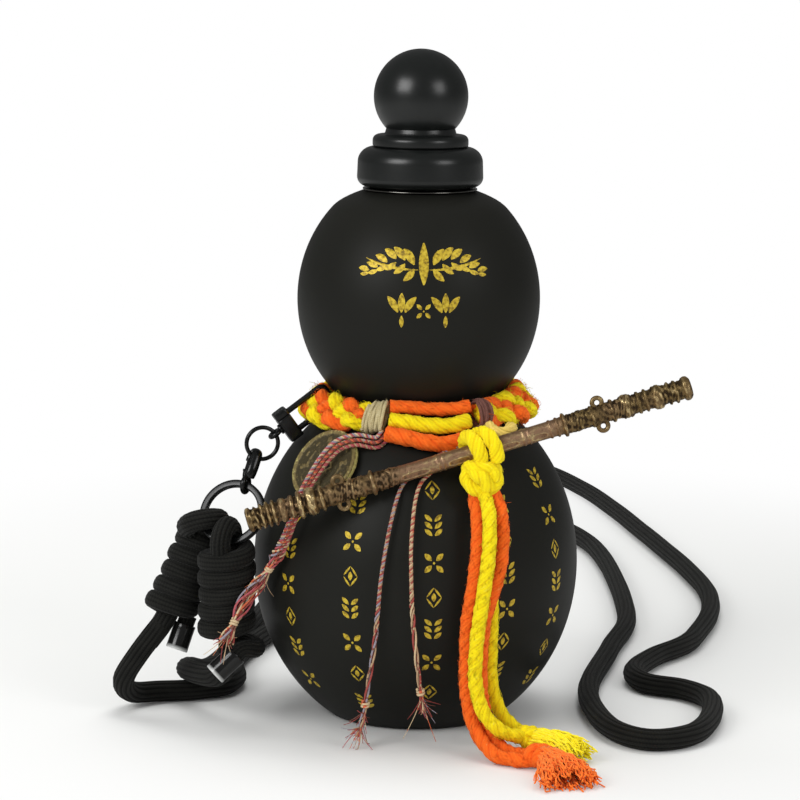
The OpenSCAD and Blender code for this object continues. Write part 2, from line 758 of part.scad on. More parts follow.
// Place on the ring and direction of its band, a degrees from the bottom towards the right
function on_split(a) = split_r * (cos(a) * split_drop + sin(a) * split_side);
split_run = cos(166) * split_side - sin(166) * split_drop;
split_mid = hook_at + (eye2_at + 0.25) * clasp_dir - on_split(166);

module split_ring() {
    color([0.08, 0.08, 0.08])
    aim(split_mid, split_dir)
    for (s = [-1, 1])
        translate([0, 0, s * split_t / 2 - split_t / 2])
        difference() {
            cylinder(h = split_t, r = split_r + split_w / 2, $fn = 64);
            translate([0, 0, -1]) cylinder(h = split_t + 2, r = split_r - split_w / 2, $fn = 64);
        }
}

// Strap nooses

bight_r = 3.05;
bight_major = 4.9;
core_a = 3.5;
core_b = 2.9;
wrap_r = wrap_d / 2;
wrap_len = wrap_turns * wrap_pitch;

noose_a_at = split_mid + on_split(0);
noose_a_dir = unit([0, 0.11, -0.99]);
noose_a_top = noose_a_at + 3.6 * noose_a_dir;
noose_b_at = split_mid + on_split(-66);
noose_b_dir = unit([-0.42, -0.12, -0.9]);
noose_b_leg = unit([-0.22, 0.9, -0.4]);
noose_b_top = noose_b_at + [-0.4, 11.3, -7.35];

// Cord bent round the split ring at p, with its two legs along d
module bight(p, d, leg, side) {
    across = square_to(side, d);
    through = cross(across, d);
    multmatrix([
        [through.x, across.x, -d.x, p.x],
        [through.y, across.y, -d.y, p.y],
        [through.z, across.z, -d.z, p.z],
        [0, 0, 0, 1]
    ]) {
        rotate([90, 0, 0]) torus(bight_major, bight_r, 180);
        for (s = [-1, 1])
            translate([s * bight_major, 0, -leg]) cylinder(h = leg + 0.02, r = bight_r, $fn = 32);
    }
}

module noose_loop_a() {
    color([0.05, 0.05, 0.055]) {
        bight(noose_a_at, noose_a_dir, 3.1, split_side);
        aim(noose_a_top, noose_a_dir) {
            translate([0, 0, -1.6]) cylinder(h = 1.4, r = 5.4);
            translate([0, 0, -1.2]) cylinder(h = wrap_len + 3, r = core_a);
        }
    }
}

module noose_loop_b() {
    color([0.05, 0.05, 0.055]) {
        bight(noose_b_at, noose_b_leg, 7.6, 0.914 * split_drop + 0.407 * split_side);
        aim(noose_b_top, noose_b_dir) {
            translate([0, 0, -5.4]) cylinder(h = 5.2, r = 5);
            translate([0, 0, -1.2]) cylinder(h = wrap_len + 3.4, r = core_b);
        }
    }
}

// Wound tube round the axis d from the point p
function wound(p, d, core, start) =
    let (u = square_to([0, -1, 0], d), v = cross(d, u), wide = core + 0.35 + wrap_r)
    [for (i = [0 : 24 * wrap_turns - 18])
        let (a = start + 360 * i / 24)
        p + (wrap_r + 0.1 + wrap_pitch * i / 24) * d + wide * (cos(a) * u + sin(a) * v)];

wound_a = wound(noose_a_top, noose_a_dir, core_a, 60);
wound_b = wound(noose_b_top, noose_b_dir, core_b, 60);
wound_gap = min([for (i = [0 : 6 : len(wound_a) - 25], j = [i + 18 : 2 : len(wound_a) - 1])
    norm(wound_a[i] - wound_a[j]) - wrap_d]);
echo(least_gap_of_the_winding = wound_gap);

module noose_wraps_a() {
    color([0.05, 0.05, 0.055]) tube(wound_a, wrap_r, 6);
}

module noose_wraps_b() {
    color([0.05, 0.05, 0.055]) tube(wound_b, wrap_r, 6);
}

// Points given from the top of a noose, so that they keep to it
function from(top, p) = [for (q = p) top + q];

tail_a_path = from(noose_a_top, [
    [4.86, 11.43, -36.92], [8.16, 10.13, -36.92], [10.56, 6.63, -37.12], [10.96, 2.43, -37.32],
    [9.36, -1.37, -36.72], [7.36, -3.17, -35.92], [5.66, -3.87, -36.22], [4.16, -4.27, -37.62]
]);
tail_b_path = from(noose_b_top, [
    [-6.21, -0.31, -30.6], [-6.71, -0.71, -31.9], [-7.21, -1.11, -33.2]
]);

module tail_a() {
    color([0.05, 0.05, 0.055]) tube(curve(tail_a_path, 3), 3.2, 10);
}

module tail_b() {
    color([0.05, 0.05, 0.055]) tube(curve(tail_b_path, 2), 3.2, 10);
}

module sleeve(p, d, h) {
    aim(p, d)
    rotate_extrude()
    polygon([[0, 0], [3.9, 0], [4.2, 0.3], [4.2, h - 0.3], [3.9, h], [3.4, h], [3.4, h - 1], [0, h - 1]]);
}

module aglet_a() {
    color([0.12, 0.12, 0.12]) sleeve(noose_a_top + [3.96, -4.37, -37.82], unit([-7.6, -2, -7]), 11);
}

module aglet_b() {
    color([0.12, 0.12, 0.12]) sleeve(noose_b_top + [-7.41, -1.31, -33.6], unit([-2.6, -2, -7.8]), 10);
}

// Free stretch of the strap, from one noose round behind the flask to the other
lie_z = strap_d / 2 + 0.15;
strap_path = concat(
    from(noose_a_top, [
        [0.96, 3.83, -35.22], [0.06, 5.23, -43.52], [-3.64, 10.63, -49.72],
        [-9.64, 19.63, -51.92]
    ]),
    outs([[-86.4, 3, 13], [-87, 18, 10.4], [-82, 36, 5.2]]),
    outs([for (p = [
        [-76, 62], [-66, 130], [-48, 270], [-38, 400], [-18, 468], [22, 508], [64, 500],
        [90, 440], [112, 330], [131, 190], [117, 104], [97, 68], [87, 43], [91, 25],
        [105, 16], [113, 0], [110, -28], [101, -50], [86, -58], [74, -46], [68, -18],
        [68, 20], [80, 80], [92, 150], [86, 290], [56, 352], [16, 310], [-64, 90],
        [-70, 24], [-82, 9]
    ]) [p.x, p.y, lie_z]]),
    outs([[-98, 4.6, lie_z], [-107.4, -4, lie_z + 1.85]]),
    from(noose_b_top, [
        [-30.61, -0.61, -55.2], [-24.21, -5.81, -43.8], [-16.01, -4.61, -33]
    ])
);

module strap() {
    color([0.05, 0.05, 0.055]) tube(curve(strap_path, 2), strap_d / 2, 10);
}

outer_shell();
inner_liner();
vacuum_base();
getter_disc();
base_cover();
foot_pad();
neck_band();
cap_collar();
cap_knob();
cap_stopper();
stopper_foam();
cap_gasket();
stopper_seal();
neck_braid();
whipping_left();
whipping_right();
front_cord_upper();
front_cord_middle();
front_cord_lower();
rod_loop();
ball_knot();
tassel_orange_a();
tassel_yellow_a();
tassel_orange_b();
tassel_yellow_b();
tassel_end_yellow();
tassel_end_orange();
rod();
coin();
coin_thread();
thread_a();
thread_b();
strap_loop();
swivel_eye();
small_ring();
clasp_body();
clasp_gate();
gate_pin();
clasp_eye();
split_ring();
noose_loop_a();
noose_loop_b();
noose_wraps_a();
noose_wraps_b();
tail_a();
tail_b();
aglet_a();
aglet_b();
strap();
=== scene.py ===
import bpy
import numpy as np
from mathutils import Euler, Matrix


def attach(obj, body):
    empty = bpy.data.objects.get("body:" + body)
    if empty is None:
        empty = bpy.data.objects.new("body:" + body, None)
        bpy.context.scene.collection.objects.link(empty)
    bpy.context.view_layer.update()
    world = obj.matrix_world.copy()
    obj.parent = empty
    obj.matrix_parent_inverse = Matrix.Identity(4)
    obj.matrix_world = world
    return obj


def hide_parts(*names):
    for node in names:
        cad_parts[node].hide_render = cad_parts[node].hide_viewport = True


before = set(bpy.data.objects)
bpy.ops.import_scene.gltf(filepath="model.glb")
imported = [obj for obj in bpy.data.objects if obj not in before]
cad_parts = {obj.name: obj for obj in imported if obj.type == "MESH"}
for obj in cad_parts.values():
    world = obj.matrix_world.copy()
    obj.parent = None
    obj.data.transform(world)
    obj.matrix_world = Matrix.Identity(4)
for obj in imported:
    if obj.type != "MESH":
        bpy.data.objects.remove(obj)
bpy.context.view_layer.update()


# Table, backdrop and lamps.
# A white table runs on without a horizon. Close to the object it is real and takes the
# shadows, farther out the camera sees it as plain white, and gloss mirrors it dimly. Its real
# zone is greyer and centred behind the object, a painted shadow for a broad soft shade.

def add(tree, kind, sockets=None, **settings):
    """New shader node; sockets holds values, or the outputs that feed them."""
    made = tree.nodes.new("ShaderNode" + kind)
    for key, value in settings.items():
        setattr(made, key, value)
    for key, value in (sockets or {}).items():
        if isinstance(value, bpy.types.NodeSocket):
            tree.links.new(value, made.inputs[key])
        else:
            made.inputs[key].default_value = value
    return made


def calc(tree, operation, *values):
    """Output of a Math node on up to three values or sockets."""
    return add(tree, "Math", dict(enumerate(values)), operation=operation).outputs[0]


def ramp(tree, value, stops, interpolation="LINEAR"):
    """Colour Ramp over stops of (place, colour)."""
    made = add(tree, "ValToRGB", {0: value})
    made.color_ramp.interpolation = interpolation
    bar = made.color_ramp.elements
    while len(bar) < len(stops):
        bar.new(0.5)
    for element, (place, colour) in zip(bar, stops):
        element.position = place
        element.color = (*colour, 1)
    return made.outputs[0]


table_mesh = bpy.data.meshes.new("table")
reach = 14.0
table_mesh.from_pydata(
    [(-reach, -reach, 0), (reach, -reach, 0), (reach, reach, 0), (-reach, reach, 0)], [], [(0, 1, 2, 3)]
)
table = bpy.data.objects.new("table", table_mesh)
bpy.context.scene.collection.objects.link(table)

paper = bpy.data.materials.new("white_table")
paper.use_nodes = True
tree = paper.node_tree
shaded = tree.nodes["Principled BSDF"]
shaded.inputs["Roughness"].default_value = 0.6
shaded.inputs["Specular IOR Level"].default_value = 0.35
spot = add(tree, "TexCoord").outputs["Object"]
# Painted shadow: the real table, coloured 0.8, is a zone 0.16 to 0.42 m round a point behind the object, set there to
# lay a broad soft shade; beyond it the camera sees white.
apart = add(tree, "VectorMath", {0: spot, 1: (0.02, 0.14, 0)}, operation="DISTANCE").outputs["Value"]
far = add(tree, "MapRange", {"Value": apart, "From Min": 0.16, "From Max": 0.42},
          interpolation_type="SMOOTHSTEP").outputs[0]
rays = add(tree, "LightPath")
seen = rays.outputs["Is Camera Ray"]
dim = calc(tree, "MULTIPLY", rays.outputs["Is Glossy Ray"], 0.6)
tree.links.new(add(tree, "Mix", {0: dim, 6: (0.8, 0.805, 0.79, 1), 7: (0.2, 0.2, 0.2, 1)}, data_type="RGBA").outputs[2],
               shaded.inputs["Base Color"])
blank = add(tree, "Emission", {"Color": (1, 1, 1, 1), "Strength": 1.0})
blend = add(tree, "MixShader", {0: calc(tree, "MULTIPLY", far, seen), 1: shaded.outputs[0], 2: blank.outputs[0]})
tree.links.new(blend.outputs[0], tree.nodes["Material Output"].inputs[0])
table_mesh.materials.append(paper)

sky = bpy.data.worlds.new("studio")
bpy.context.scene.world = sky
sky.use_nodes = True
tree = sky.node_tree
rays = add(tree, "LightPath")
seen = calc(tree, "MAXIMUM", rays.outputs["Is Camera Ray"], rays.outputs["Is Transmission Ray"])
ambient = calc(tree, "SUBTRACT", 0.6, calc(tree, "MULTIPLY", rays.outputs["Is Glossy Ray"], 0.46))
tree.links.new(calc(tree, "ADD", calc(tree, "MULTIPLY", seen, 0.4), ambient), tree.nodes["Background"].inputs["Strength"])
tree.nodes["Background"].inputs["Color"].default_value = (1, 1, 1, 1)


def lamp(name, place, aim_at, width, height, watts, colour=(1, 1, 1)):
    """Rectangular soft box at a place, turned to face a point."""
    light = bpy.data.lights.new(name, "AREA")
    light.shape = "RECTANGLE"
    light.size, light.size_y = width, height
    light.energy = watts
    light.color = colour
    holder = bpy.data.objects.new(name, light)
    bpy.context.scene.collection.objects.link(holder)
    holder.location = place
    away = holder.location - type(holder.location)(aim_at)
    holder.rotation_euler = away.to_track_quat("Z", "Y").to_euler()
    return holder


lamp("key_box", (-0.84, -0.85, 0.8), (0, 0, 0.12), 0.7, 0.6, 9)
lamp("side_box", (0.84, -0.78, 0.68), (0, 0, 0.12), 0.5, 0.5, 3)
top_box = lamp("top_box", (0.05, 0.25, 1.3), (0, 0.05, 0.1), 0.9, 0.6, 7)
top_box.visible_glossy = False
back_box = lamp("back_left_box", (-0.75, 0.75, 0.55), (0, 0, 0.12), 0.35, 0.9, 2.2)
back_box.visible_glossy = False

# Camera. It stands a little above the lid, 1.1 metres in front, with a long lens.
lens = bpy.data.cameras.new("camera")
lens.sensor_width = 36
lens.lens = 2964 * 36 / 800
lens.clip_end = 60
camera = bpy.data.objects.new("camera", lens)
bpy.context.scene.collection.objects.link(camera)
camera.location = (-0.00655, -1.10, 0.29)
look = Euler((np.radians(90 - 8.85), 0, 0)).to_matrix() @ Euler((0, 0, np.radians(0.64))).to_matrix()
camera.rotation_euler = look.to_euler()
bpy.context.scene.camera = camera
bpy.context.scene.view_settings.view_transform = "Standard"


# Steel body.
# Two spun steel walls with a vacuum between them, powder coated in warm matte black. The
# gourd is two ellipsoids run together at the waist, and its shoulder rolls in to the neck.

def loft(name, grids, body, closed=True, capped=True, looped=False, runs=None, marks=None, sharp=40):
    """Mesh over grids of points [i, j] in millimetres: cell i..i+1, j..j+1 is one quad.
    closed joins the last j to the first, looped the last i to the first, and capped shuts
    both ends with a fan round their middle. The UV map holds the run in millimetres and j."""
    spots, corners, starts, uvs, values = [], [], [], [], {k: [] for k in (marks or {})}
    base = loops = 0
    for g, grid in enumerate(grids):
        ni, nj = grid.shape[:2]
        run = np.arange(ni) if runs is None else np.asarray(runs[g])
        rows = ni if looped else ni - 1
        cols = nj if closed else nj - 1
        i, j = (k.ravel() for k in np.meshgrid(np.arange(rows), np.arange(cols), indexing="ij"))
        i2, j2 = (i + 1) % ni, (j + 1) % nj
        quads = np.stack([i * nj + j, i * nj + j2, i2 * nj + j2, i2 * nj + j], 1) + base
        step = run[-1] / max(1, ni - 1)
        along = np.stack([run[i], run[i], run[i] + step if looped else run[i2],
                          run[i] + step if looped else run[i2]], 1)
        round_it = np.stack([j, j + 1, j + 1, j], 1) / (nj if closed else nj - 1)
        corners.append(quads.ravel())
        uvs.append(np.stack([along, round_it], -1).reshape(-1, 2))
        starts.append(loops + 4 * np.arange(len(quads)))
        loops += 4 * len(quads)
        points = grid.reshape(-1, 3)
        layers = {k: np.asarray(v[g]).reshape(-1) for k, v in (marks or {}).items()}
        if capped and not looped:
            j = np.arange(nj)
            for row, middle in ((0, ni * nj), (ni - 1, ni * nj + 1)):
                rim = row * nj + np.stack([(j + 1) % nj, j] if row == 0 else [j, (j + 1) % nj], 1)
                fans = np.concatenate([rim, np.full((nj, 1), middle)], 1) + base
                corners.append(fans.ravel())
                uvs.append(np.stack([np.full(3 * nj, run[row]), np.repeat((j + 0.5) / nj, 3)], 1))
                starts.append(loops + 3 * np.arange(nj))
                loops += 3 * nj
            points = np.concatenate([points, grid[0].mean(0)[None], grid[-1].mean(0)[None]])
            layers = {k: np.append(v, [v[:nj].mean(), v[-nj:].mean()]) for k, v in layers.items()}
        for k, v in layers.items():
            values[k].append(v)
        spots.append(points)
        base += len(points)
    mesh = bpy.data.meshes.new(name)
    spots, corners, starts = np.concatenate(spots), np.concatenate(corners), np.concatenate(starts)
    mesh.vertices.add(len(spots))
    mesh.vertices.foreach_set("co", (spots * 0.001).ravel())
    mesh.loops.add(len(corners))
    mesh.loops.foreach_set("vertex_index", corners.astype(np.int32))
    mesh.polygons.add(len(starts))
    mesh.polygons.foreach_set("loop_start", starts.astype(np.int32))
    mesh.polygons.foreach_set("use_smooth", np.ones(len(starts), bool))
    mesh.update(calc_edges=True)
    mesh.uv_layers.new(name="run").data.foreach_set("uv", np.concatenate(uvs).ravel())
    for k, v in values.items():
        mesh.attributes.new(k, "FLOAT", "POINT").data.foreach_set("value", np.concatenate(v))
    mesh.set_sharp_from_angle(angle=np.radians(sharp))
    piece = bpy.data.objects.new(name, mesh)
    bpy.context.scene.collection.objects.link(piece)
    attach(piece, body)
    return piece


def turned(outline, around=128):
    """Surface of revolution: P(i, a) = (r_i cos a, r_i sin a, z_i) for the outline's (r, z)."""
    r, z = np.asarray(outline, float).T
    a = np.linspace(0, 2 * np.pi, around, endpoint=False)
    return np.stack([r[:, None] * np.cos(a), r[:, None] * np.sin(a), np.repeat(z[:, None], around, 1)], -1)


def quarter(cr, cz, radius, a0, a1, n=8):
    """Outline points on a circle's arc from a0 to a1 degrees."""
    a = np.radians(np.linspace(a0, a1, n))
    return np.stack([cr + radius * np.cos(a), cz + radius * np.sin(a)], 1)


shoulder_z, neck_r, rim_z, edge_lift = 197.4, 18.2, 208.2, 0.4


def gourd(z, inset=0.0):
    """Radius at height z: smooth maximum of two ellipses, less the roll of the shoulder."""
    p = (61 - inset) * np.sqrt(np.clip(1 - ((z - 57.9) / (68.2 - inset)) ** 2, 0, 1))
    q = (45.3 - inset) * np.sqrt(np.clip(1 - ((z - 157.5) / (48.6 - inset)) ** 2, 0, 1))
    ease = 3 * np.minimum(1, np.minimum(p, q) / 5)
    return (p + q + np.sqrt((p - q) ** 2 + ease ** 2)) / 2 - 0.117 * np.clip(z - shoulder_z + 5.9, 0, 99) ** 2


heights = np.concatenate([[edge_lift, edge_lift + 0.15], np.linspace(edge_lift + 0.8, shoulder_z, 190)])
outer = np.stack([gourd(heights), heights], 1)
outer[0, 0] -= 0.35
neck = np.array([[neck_r, shoulder_z + 0.6], [neck_r, rim_z - 0.1], [neck_r - 0.1, rim_z], [neck_r - 1, rim_z],
                 [neck_r - 1, shoulder_z - 1]])
inner_heights = np.linspace(shoulder_z - 1.4, edge_lift, 60)
inner = np.stack([np.minimum(gourd(inner_heights, 1), gourd(inner_heights) - 0.8), inner_heights], 1)
steel_body = loft("steel_body", [turned(np.concatenate([outer, neck, inner]), 192)], "flask", looped=True)
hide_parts("outer_shell")


def group(name, inputs, outputs):
    """Empty shader group with named inputs (name, kind, default) and outputs (name, kind)."""
    made = bpy.data.node_groups.new(name, "ShaderNodeTree")
    for label, kind, default in inputs:
        made.interface.new_socket(label, in_out="INPUT", socket_type="NodeSocket" + kind).default_value = default
    for label, kind in outputs:
        made.interface.new_socket(label, in_out="OUTPUT", socket_type="NodeSocket" + kind)
    return made, made.nodes.new("NodeGroupInput").outputs, made.nodes.new("NodeGroupOutput").inputs


# Fine speckle of a sprayed and baked coat: two noises, one for tone and one for relief
speckle, given, out = group(
    "coat_speckle",
    [("Dark", "Color", (0, 0, 0, 1)), ("Light", "Color", (0, 0, 0, 1)), ("Grain", "Float", 1500.0),
     ("Low", "Float", 0.4), ("High", "Float", 0.5)],
    [("Colour", "Color"), ("Roughness", "Float"), ("Height", "Float")]
)
spot = add(speckle, "TexCoord").outputs["Object"]
cloud = add(speckle, "TexNoise", {"Vector": spot, "Scale": 22.0, "Detail": 4.0}).outputs[0]
grain = add(speckle, "TexNoise", {"Vector": spot, "Scale": given["Grain"], "Detail": 2.0}).outputs[0]
blended = calc(speckle, "ADD", calc(speckle, "MULTIPLY", cloud, 0.65), calc(speckle, "MULTIPLY", grain, 0.35))
speckle.links.new(add(speckle, "Mix", {0: blended, 6: given["Dark"], 7: given["Light"]}, data_type="RGBA").outputs[2],
                  out["Colour"])
speckle.links.new(add(speckle, "MapRange", {"Value": blended, "From Min": 0.3, "From Max": 0.7,
                                            "To Min": given["Low"], "To Max": given["High"]}).outputs[0],
                  out["Roughness"])
speckle.links.new(grain, out["Height"])


def finish(name, bump=0.0, depth=0.0002, **sockets):
    """New material with a Principled BSDF, its plain sockets set, and a Bump node when wanted."""
    made = bpy.data.materials.new(name)
    made.use_nodes = True
    shader = made.node_tree.nodes["Principled BSDF"]
    for key, value in sockets.items():
        shader.inputs[key.replace("_", " ")].default_value = value
    relief = None
    if bump:
        relief = add(made.node_tree, "Bump", {"Strength": bump, "Distance": depth})
        made.node_tree.links.new(relief.outputs[0], shader.inputs["Normal"])
    return made, made.node_tree, shader, relief


def coated(name, dark, light, low, high, grain=1500.0, bump=0.2, depth=0.00005, **sockets):
    """Material of a speckled coat between two tones and two roughnesses."""
    made, tree, shader, relief = finish(name, bump, depth, **sockets)
    use = add(tree, "Group", node_tree=speckle)
    for key, value in {"Dark": (*dark, 1), "Light": (*light, 1), "Grain": grain, "Low": low, "High": high}.items():
        use.inputs[key].default_value = value
    tree.links.new(use.outputs["Colour"], shader.inputs["Base Color"])
    tree.links.new(use.outputs["Roughness"], shader.inputs["Roughness"])
    tree.links.new(use.outputs["Height"], relief.inputs["Height"])
    return made


black_coat = coated("matte_black_powder_coat", (0.0095, 0.0095, 0.0076), (0.0135, 0.0136, 0.0112), 0.42, 0.5,
                    grain=2600.0, bump=0.16, depth=0.00004, Specular_IOR_Level=0.14)
steel_body.data.materials.append(black_coat)

# Rolled thread of the neck: a ridge of an ellipse's section on a helix, 4 mm a turn
turn, b = np.radians(np.linspace(0, 560, 240))[:, None], np.linspace(0, 2 * np.pi, 12, endpoint=False)[None, :]
ridge = 0.45 * np.clip(np.minimum(turn, turn[-1] - turn) / 0.5, 0.05, 1)
r = neck_r - 0.1 + ridge * np.cos(b)
neck_thread = loft("neck_thread", [np.stack([r * np.cos(turn), r * np.sin(turn), 200.4 + 4 * turn / (2 * np.pi) - 1.6 * ridge * np.sin(b)], -1)],
                   "flask", sharp=180)
neck_thread.data.materials.append(black_coat)


# Foot and inside.
# A coated dish closes the underside round a rubber pad. Inside are the bright drawn liner
# and the steel base with the getter that keeps the vacuum.

def dress(node, material):
    """Gives a CAD node that keeps its own shape a material."""
    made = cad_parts[node]
    made.data.materials.clear()
    made.data.materials.append(material)
    made.data.set_sharp_from_angle(angle=np.radians(30))
    return made


rubber = coated("foot_rubber", (0.018, 0.018, 0.018), (0.032, 0.032, 0.031), 0.7, 0.85, grain=1200.0, bump=0.3)
dress("foot_pad", rubber)
dress("base_cover", black_coat)

drawn_steel, tree, shader, relief = finish("brushed_steel", 0.12, 0.00005, Metallic=1.0)
spot = add(tree, "TexCoord").outputs["Object"]
rings = add(tree, "TexNoise", {"Vector": add(tree, "Mapping", {"Vector": spot, "Scale": (30, 30, 2400)}).outputs[0],
                               "Scale": 1.0, "Detail": 3.0}).outputs[0]
tree.links.new(ramp(tree, rings, [(0.3, (0.46, 0.46, 0.45)), (0.7, (0.68, 0.68, 0.67))]), shader.inputs["Base Color"])
tree.links.new(add(tree, "MapRange", {"Value": rings, "To Min": 0.18, "To Max": 0.42}).outputs[0],
               shader.inputs["Roughness"])
tree.links.new(rings, relief.inputs["Height"])
for part in ("inner_liner", "vacuum_base", "getter_disc"):
    dress(part, drawn_steel)

# Neck band.
# A thin ring of polished black nickel under the lid, which shows as one bright line.
band_r = 21.2
band = loft("polished_neck_band", [turned([[neck_r + 0.1, 198.05], [band_r - 0.1, 198.05], [band_r + 0.1, 198.18],
                                            [band_r + 0.12, 198.35], [band_r, 198.62], [band_r - 0.2, 198.7],
                                            [neck_r + 0.1, 198.7]], 160)],
            "flask", looped=True, sharp=60)
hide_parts("neck_band")
band.data.materials.append(coated("polished_black_nickel", (0.12, 0.115, 0.105), (0.19, 0.185, 0.17), 0.14, 0.26,
                                  grain=900.0, bump=0.04, Metallic=1.0))


# Lid.
# Collar, flange and ball are turned from black plastic with a satin skin. A soft stopper
# with a foam core hangs under them, with a flat gasket and a round seal.

collar_r, collar_z, collar_top = 23.25, 198.8, 213.8
flange_r, flange_h, ball_r, ball_z = 17.8, 4.6, 17.5, 232.5
collar_outline = np.concatenate([
    [[18.8, collar_z]], quarter(collar_r - 3.4, collar_z + 4, 3.6, -88, 0, 12),
    quarter(collar_r - 5.6, collar_top - 5.6, 5.6, 0, 90, 16),
    [[7.1, collar_top], [7.1, rim_z + 3.4], [18.8, rim_z + 3.4]]
])
knob_outline = np.concatenate([
    [[0.01, rim_z + 3.2], [7, rim_z + 3.2], [7, collar_top]],
    quarter(flange_r - 1, collar_top + 1, 1, -90, 0, 6),
    quarter(flange_r - 2.2, collar_top + flange_h - 2.2, 2.2, 0, 86, 9),
    [[13.9, collar_top + flange_h], [13.45, collar_top + flange_h + 0.25], [13.15, collar_top + flange_h + 0.9]],
    quarter(0, ball_z, ball_r, -43, 89.9, 60)
])
collar = loft("lid_collar", [turned(collar_outline, 192)], "lid", looped=True, sharp=50)
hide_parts("cap_collar")
knob = loft("lid_ball", [turned(knob_outline, 160)], "lid", sharp=50)
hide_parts("cap_knob")
lid_black = coated("satin_black_plastic", (0.0052, 0.0062, 0.0058), (0.0082, 0.0094, 0.0088), 0.25, 0.34,
                   grain=1900.0, bump=0.1, depth=0.00004)
collar.data.materials.append(lid_black)
knob.data.materials.append(lid_black)
dress("cap_stopper", coated("stopper_plastic", (0.02, 0.02, 0.02), (0.035, 0.035, 0.034), 0.4, 0.55, bump=0.15))
dress("stopper_foam", coated("white_foam", (0.75, 0.75, 0.72), (0.86, 0.86, 0.83), 0.8, 0.95, grain=900.0, bump=0.6))
silicone = coated("silicone", (0.62, 0.62, 0.6), (0.72, 0.72, 0.7), 0.35, 0.5, grain=500.0, bump=0.08,
                  Subsurface_Weight=0.2, Subsurface_Radius=(0.002, 0.002, 0.002))
dress("cap_gasket", silicone)
dress("stopper_seal", silicone)


# Gold print.
# A plain leaf pattern, printed in dull gold on the front of both bulbs: a sprig with two
# sheaves above, and columns of blossoms, lozenges and leaves below. The ink lies proud.

def leaves(marks, across=3.0):
    """Leaf strokes on the gourd. A mark is (azimuth, height, u, v, turn, length, width, bend):
    its line runs length long from (u, v), and half its width is width/2 sin(pi t)^0.7."""
    m = np.asarray(marks, float)
    t = np.linspace(0, 1, 15)[None, :]
    az, z0, u0, v0, turn, length, width, bend = (m[:, k:k + 1] for k in range(8))
    way = np.radians(turn) + bend * (t - 0.5)
    du, dv = np.cos(way), np.sin(way)
    u = u0 + length * np.cumsum(du, 1) / 15
    v = v0 + length * np.cumsum(dv, 1) / 15
    half = width / 2 * np.clip(np.sin(np.pi * np.clip(t, 0.02, 0.98)), 0, 1) ** 0.7
    side = np.array([1.0, 0.0, -1.0, -1.0, 0.0, 1.0])[None, None, :]
    lift = np.array([0.02, 0.05, 0.02, -0.06, -0.06, -0.06])[None, None, :]
    uu = u[..., None] - dv[..., None] * half[..., None] * side
    vv = v[..., None] + du[..., None] * half[..., None] * side
    slope = (gourd(z0 + 1) - gourd(z0 - 1)) / 2
    z = z0[..., None] + vv / np.sqrt(1 + slope ** 2)[..., None]
    r = gourd(z) + lift
    angle = np.radians(az)[..., None] + uu / gourd(z0)[..., None]
    return list(np.stack([r * np.sin(angle), -r * np.cos(angle), z], -1))


def blossom(az, z, size, petals, turn):
    """Ring of petals round a point, each starting a quarter of the size out."""
    ways = turn + np.arange(petals) * 360 / petals
    rad = np.radians(ways)
    return [(az, z, 0.22 * size * np.cos(w), 0.22 * size * np.sin(w), d, 0.8 * size, 0.42 * size, 0)
            for w, d in zip(rad, ways)] + [(az, z, -0.1 * size, 0, 0, 0.2 * size, 0.2 * size, 0)]


def lozenge(az, z, size):
    """Four straight strokes round a small leaf."""
    s = size
    return [(az, z, -s * 0.75, 0, 53, 1.25 * s, 0.2 * s, 0), (az, z, 0, s, -53, 1.25 * s, 0.2 * s, 0),
            (az, z, 0, -s, 53, 1.25 * s, 0.2 * s, 0), (az, z, -s * 0.75, 0, -53, 1.25 * s, 0.2 * s, 0),
            (az, z, 0, -0.45 * s, 90, 0.9 * s, 0.45 * s, 0)]


print_marks = []
for side in (-1, 1):
    for k in range(6):
        reach, tall = 3.4 + 3.3 * k, 1.0 + 2.2 * np.sin(k * 0.9)
        print_marks += [(2, 173, side * reach, tall, 90 - side * (35 + 9 * k), 7.6 - 0.6 * k, 3.0 - 0.2 * k, -side * 0.5),
                        (2, 173, side * reach, tall - 0.6, -90 + side * (38 + 8 * k), 6.2 - 0.5 * k, 2.5 - 0.2 * k, side * 0.5)]
    print_marks += [(2, 173, side * 0.6, -0.3, 90 - side * 80, 22, 1.1, side * 0.4)]
print_marks += [(2, 173, 0, -7.0, 90, 16.5, 3.6, 0)]
for u in (-1.5, 1.5):
    print_marks += [(2, 157, 8.0 * u / 1.5 + du, 0, 90 + turn, 7.4, 2.6, bend)
                    for du, turn, bend in ((0, 0, 0), (-1.2, 34, 0.5), (1.2, -34, -0.5))]
    print_marks += [(2, 157, 8.0 * u / 1.5, -0.4, -90, 4.6, 1.6, 0)]
print_marks += blossom(2, 158, 3.4, 4, 45)
for column, az in enumerate((-50, -23, 6, 33, 58)):
    for row, z in enumerate(np.arange(94, 14, -12.5) - (6 if column % 2 else 0)):
        kind = (row + 2 * column) % 3
        print_marks += (blossom(az, z, 4.6, 4, 45) if kind == 0 else lozenge(az, z, 3.7) if kind == 1 else
                        [(az, z, side * 0.3, -3.2 + 2.6 * k, 90 - side * 48, 3.8, 1.6, 0) for side in (-1, 1) for k in range(3)])
print_grids = leaves(print_marks)
gold_print = loft("gold_print", print_grids, "flask", sharp=70)
gold, tree, shader, relief = finish("dull_gold_ink", 0.25, 0.00006, Metallic=0.35)
wear = add(tree, "TexNoise", {"Vector": add(tree, "TexCoord").outputs["Object"], "Scale": 900.0, "Detail": 4.0}).outputs[0]
tree.links.new(ramp(tree, wear, [(0.32, (0.2, 0.13, 0.012)), (0.5, (0.56, 0.39, 0.022)), (0.72, (0.72, 0.55, 0.05))]),
               shader.inputs["Base Color"])
tree.links.new(add(tree, "MapRange", {"Value": wear, "To Min": 0.35, "To Max": 0.6}).outputs[0], shader.inputs["Roughness"])
tree.links.new(wear, relief.inputs["Height"])
gold_print.data.materials.append(gold)


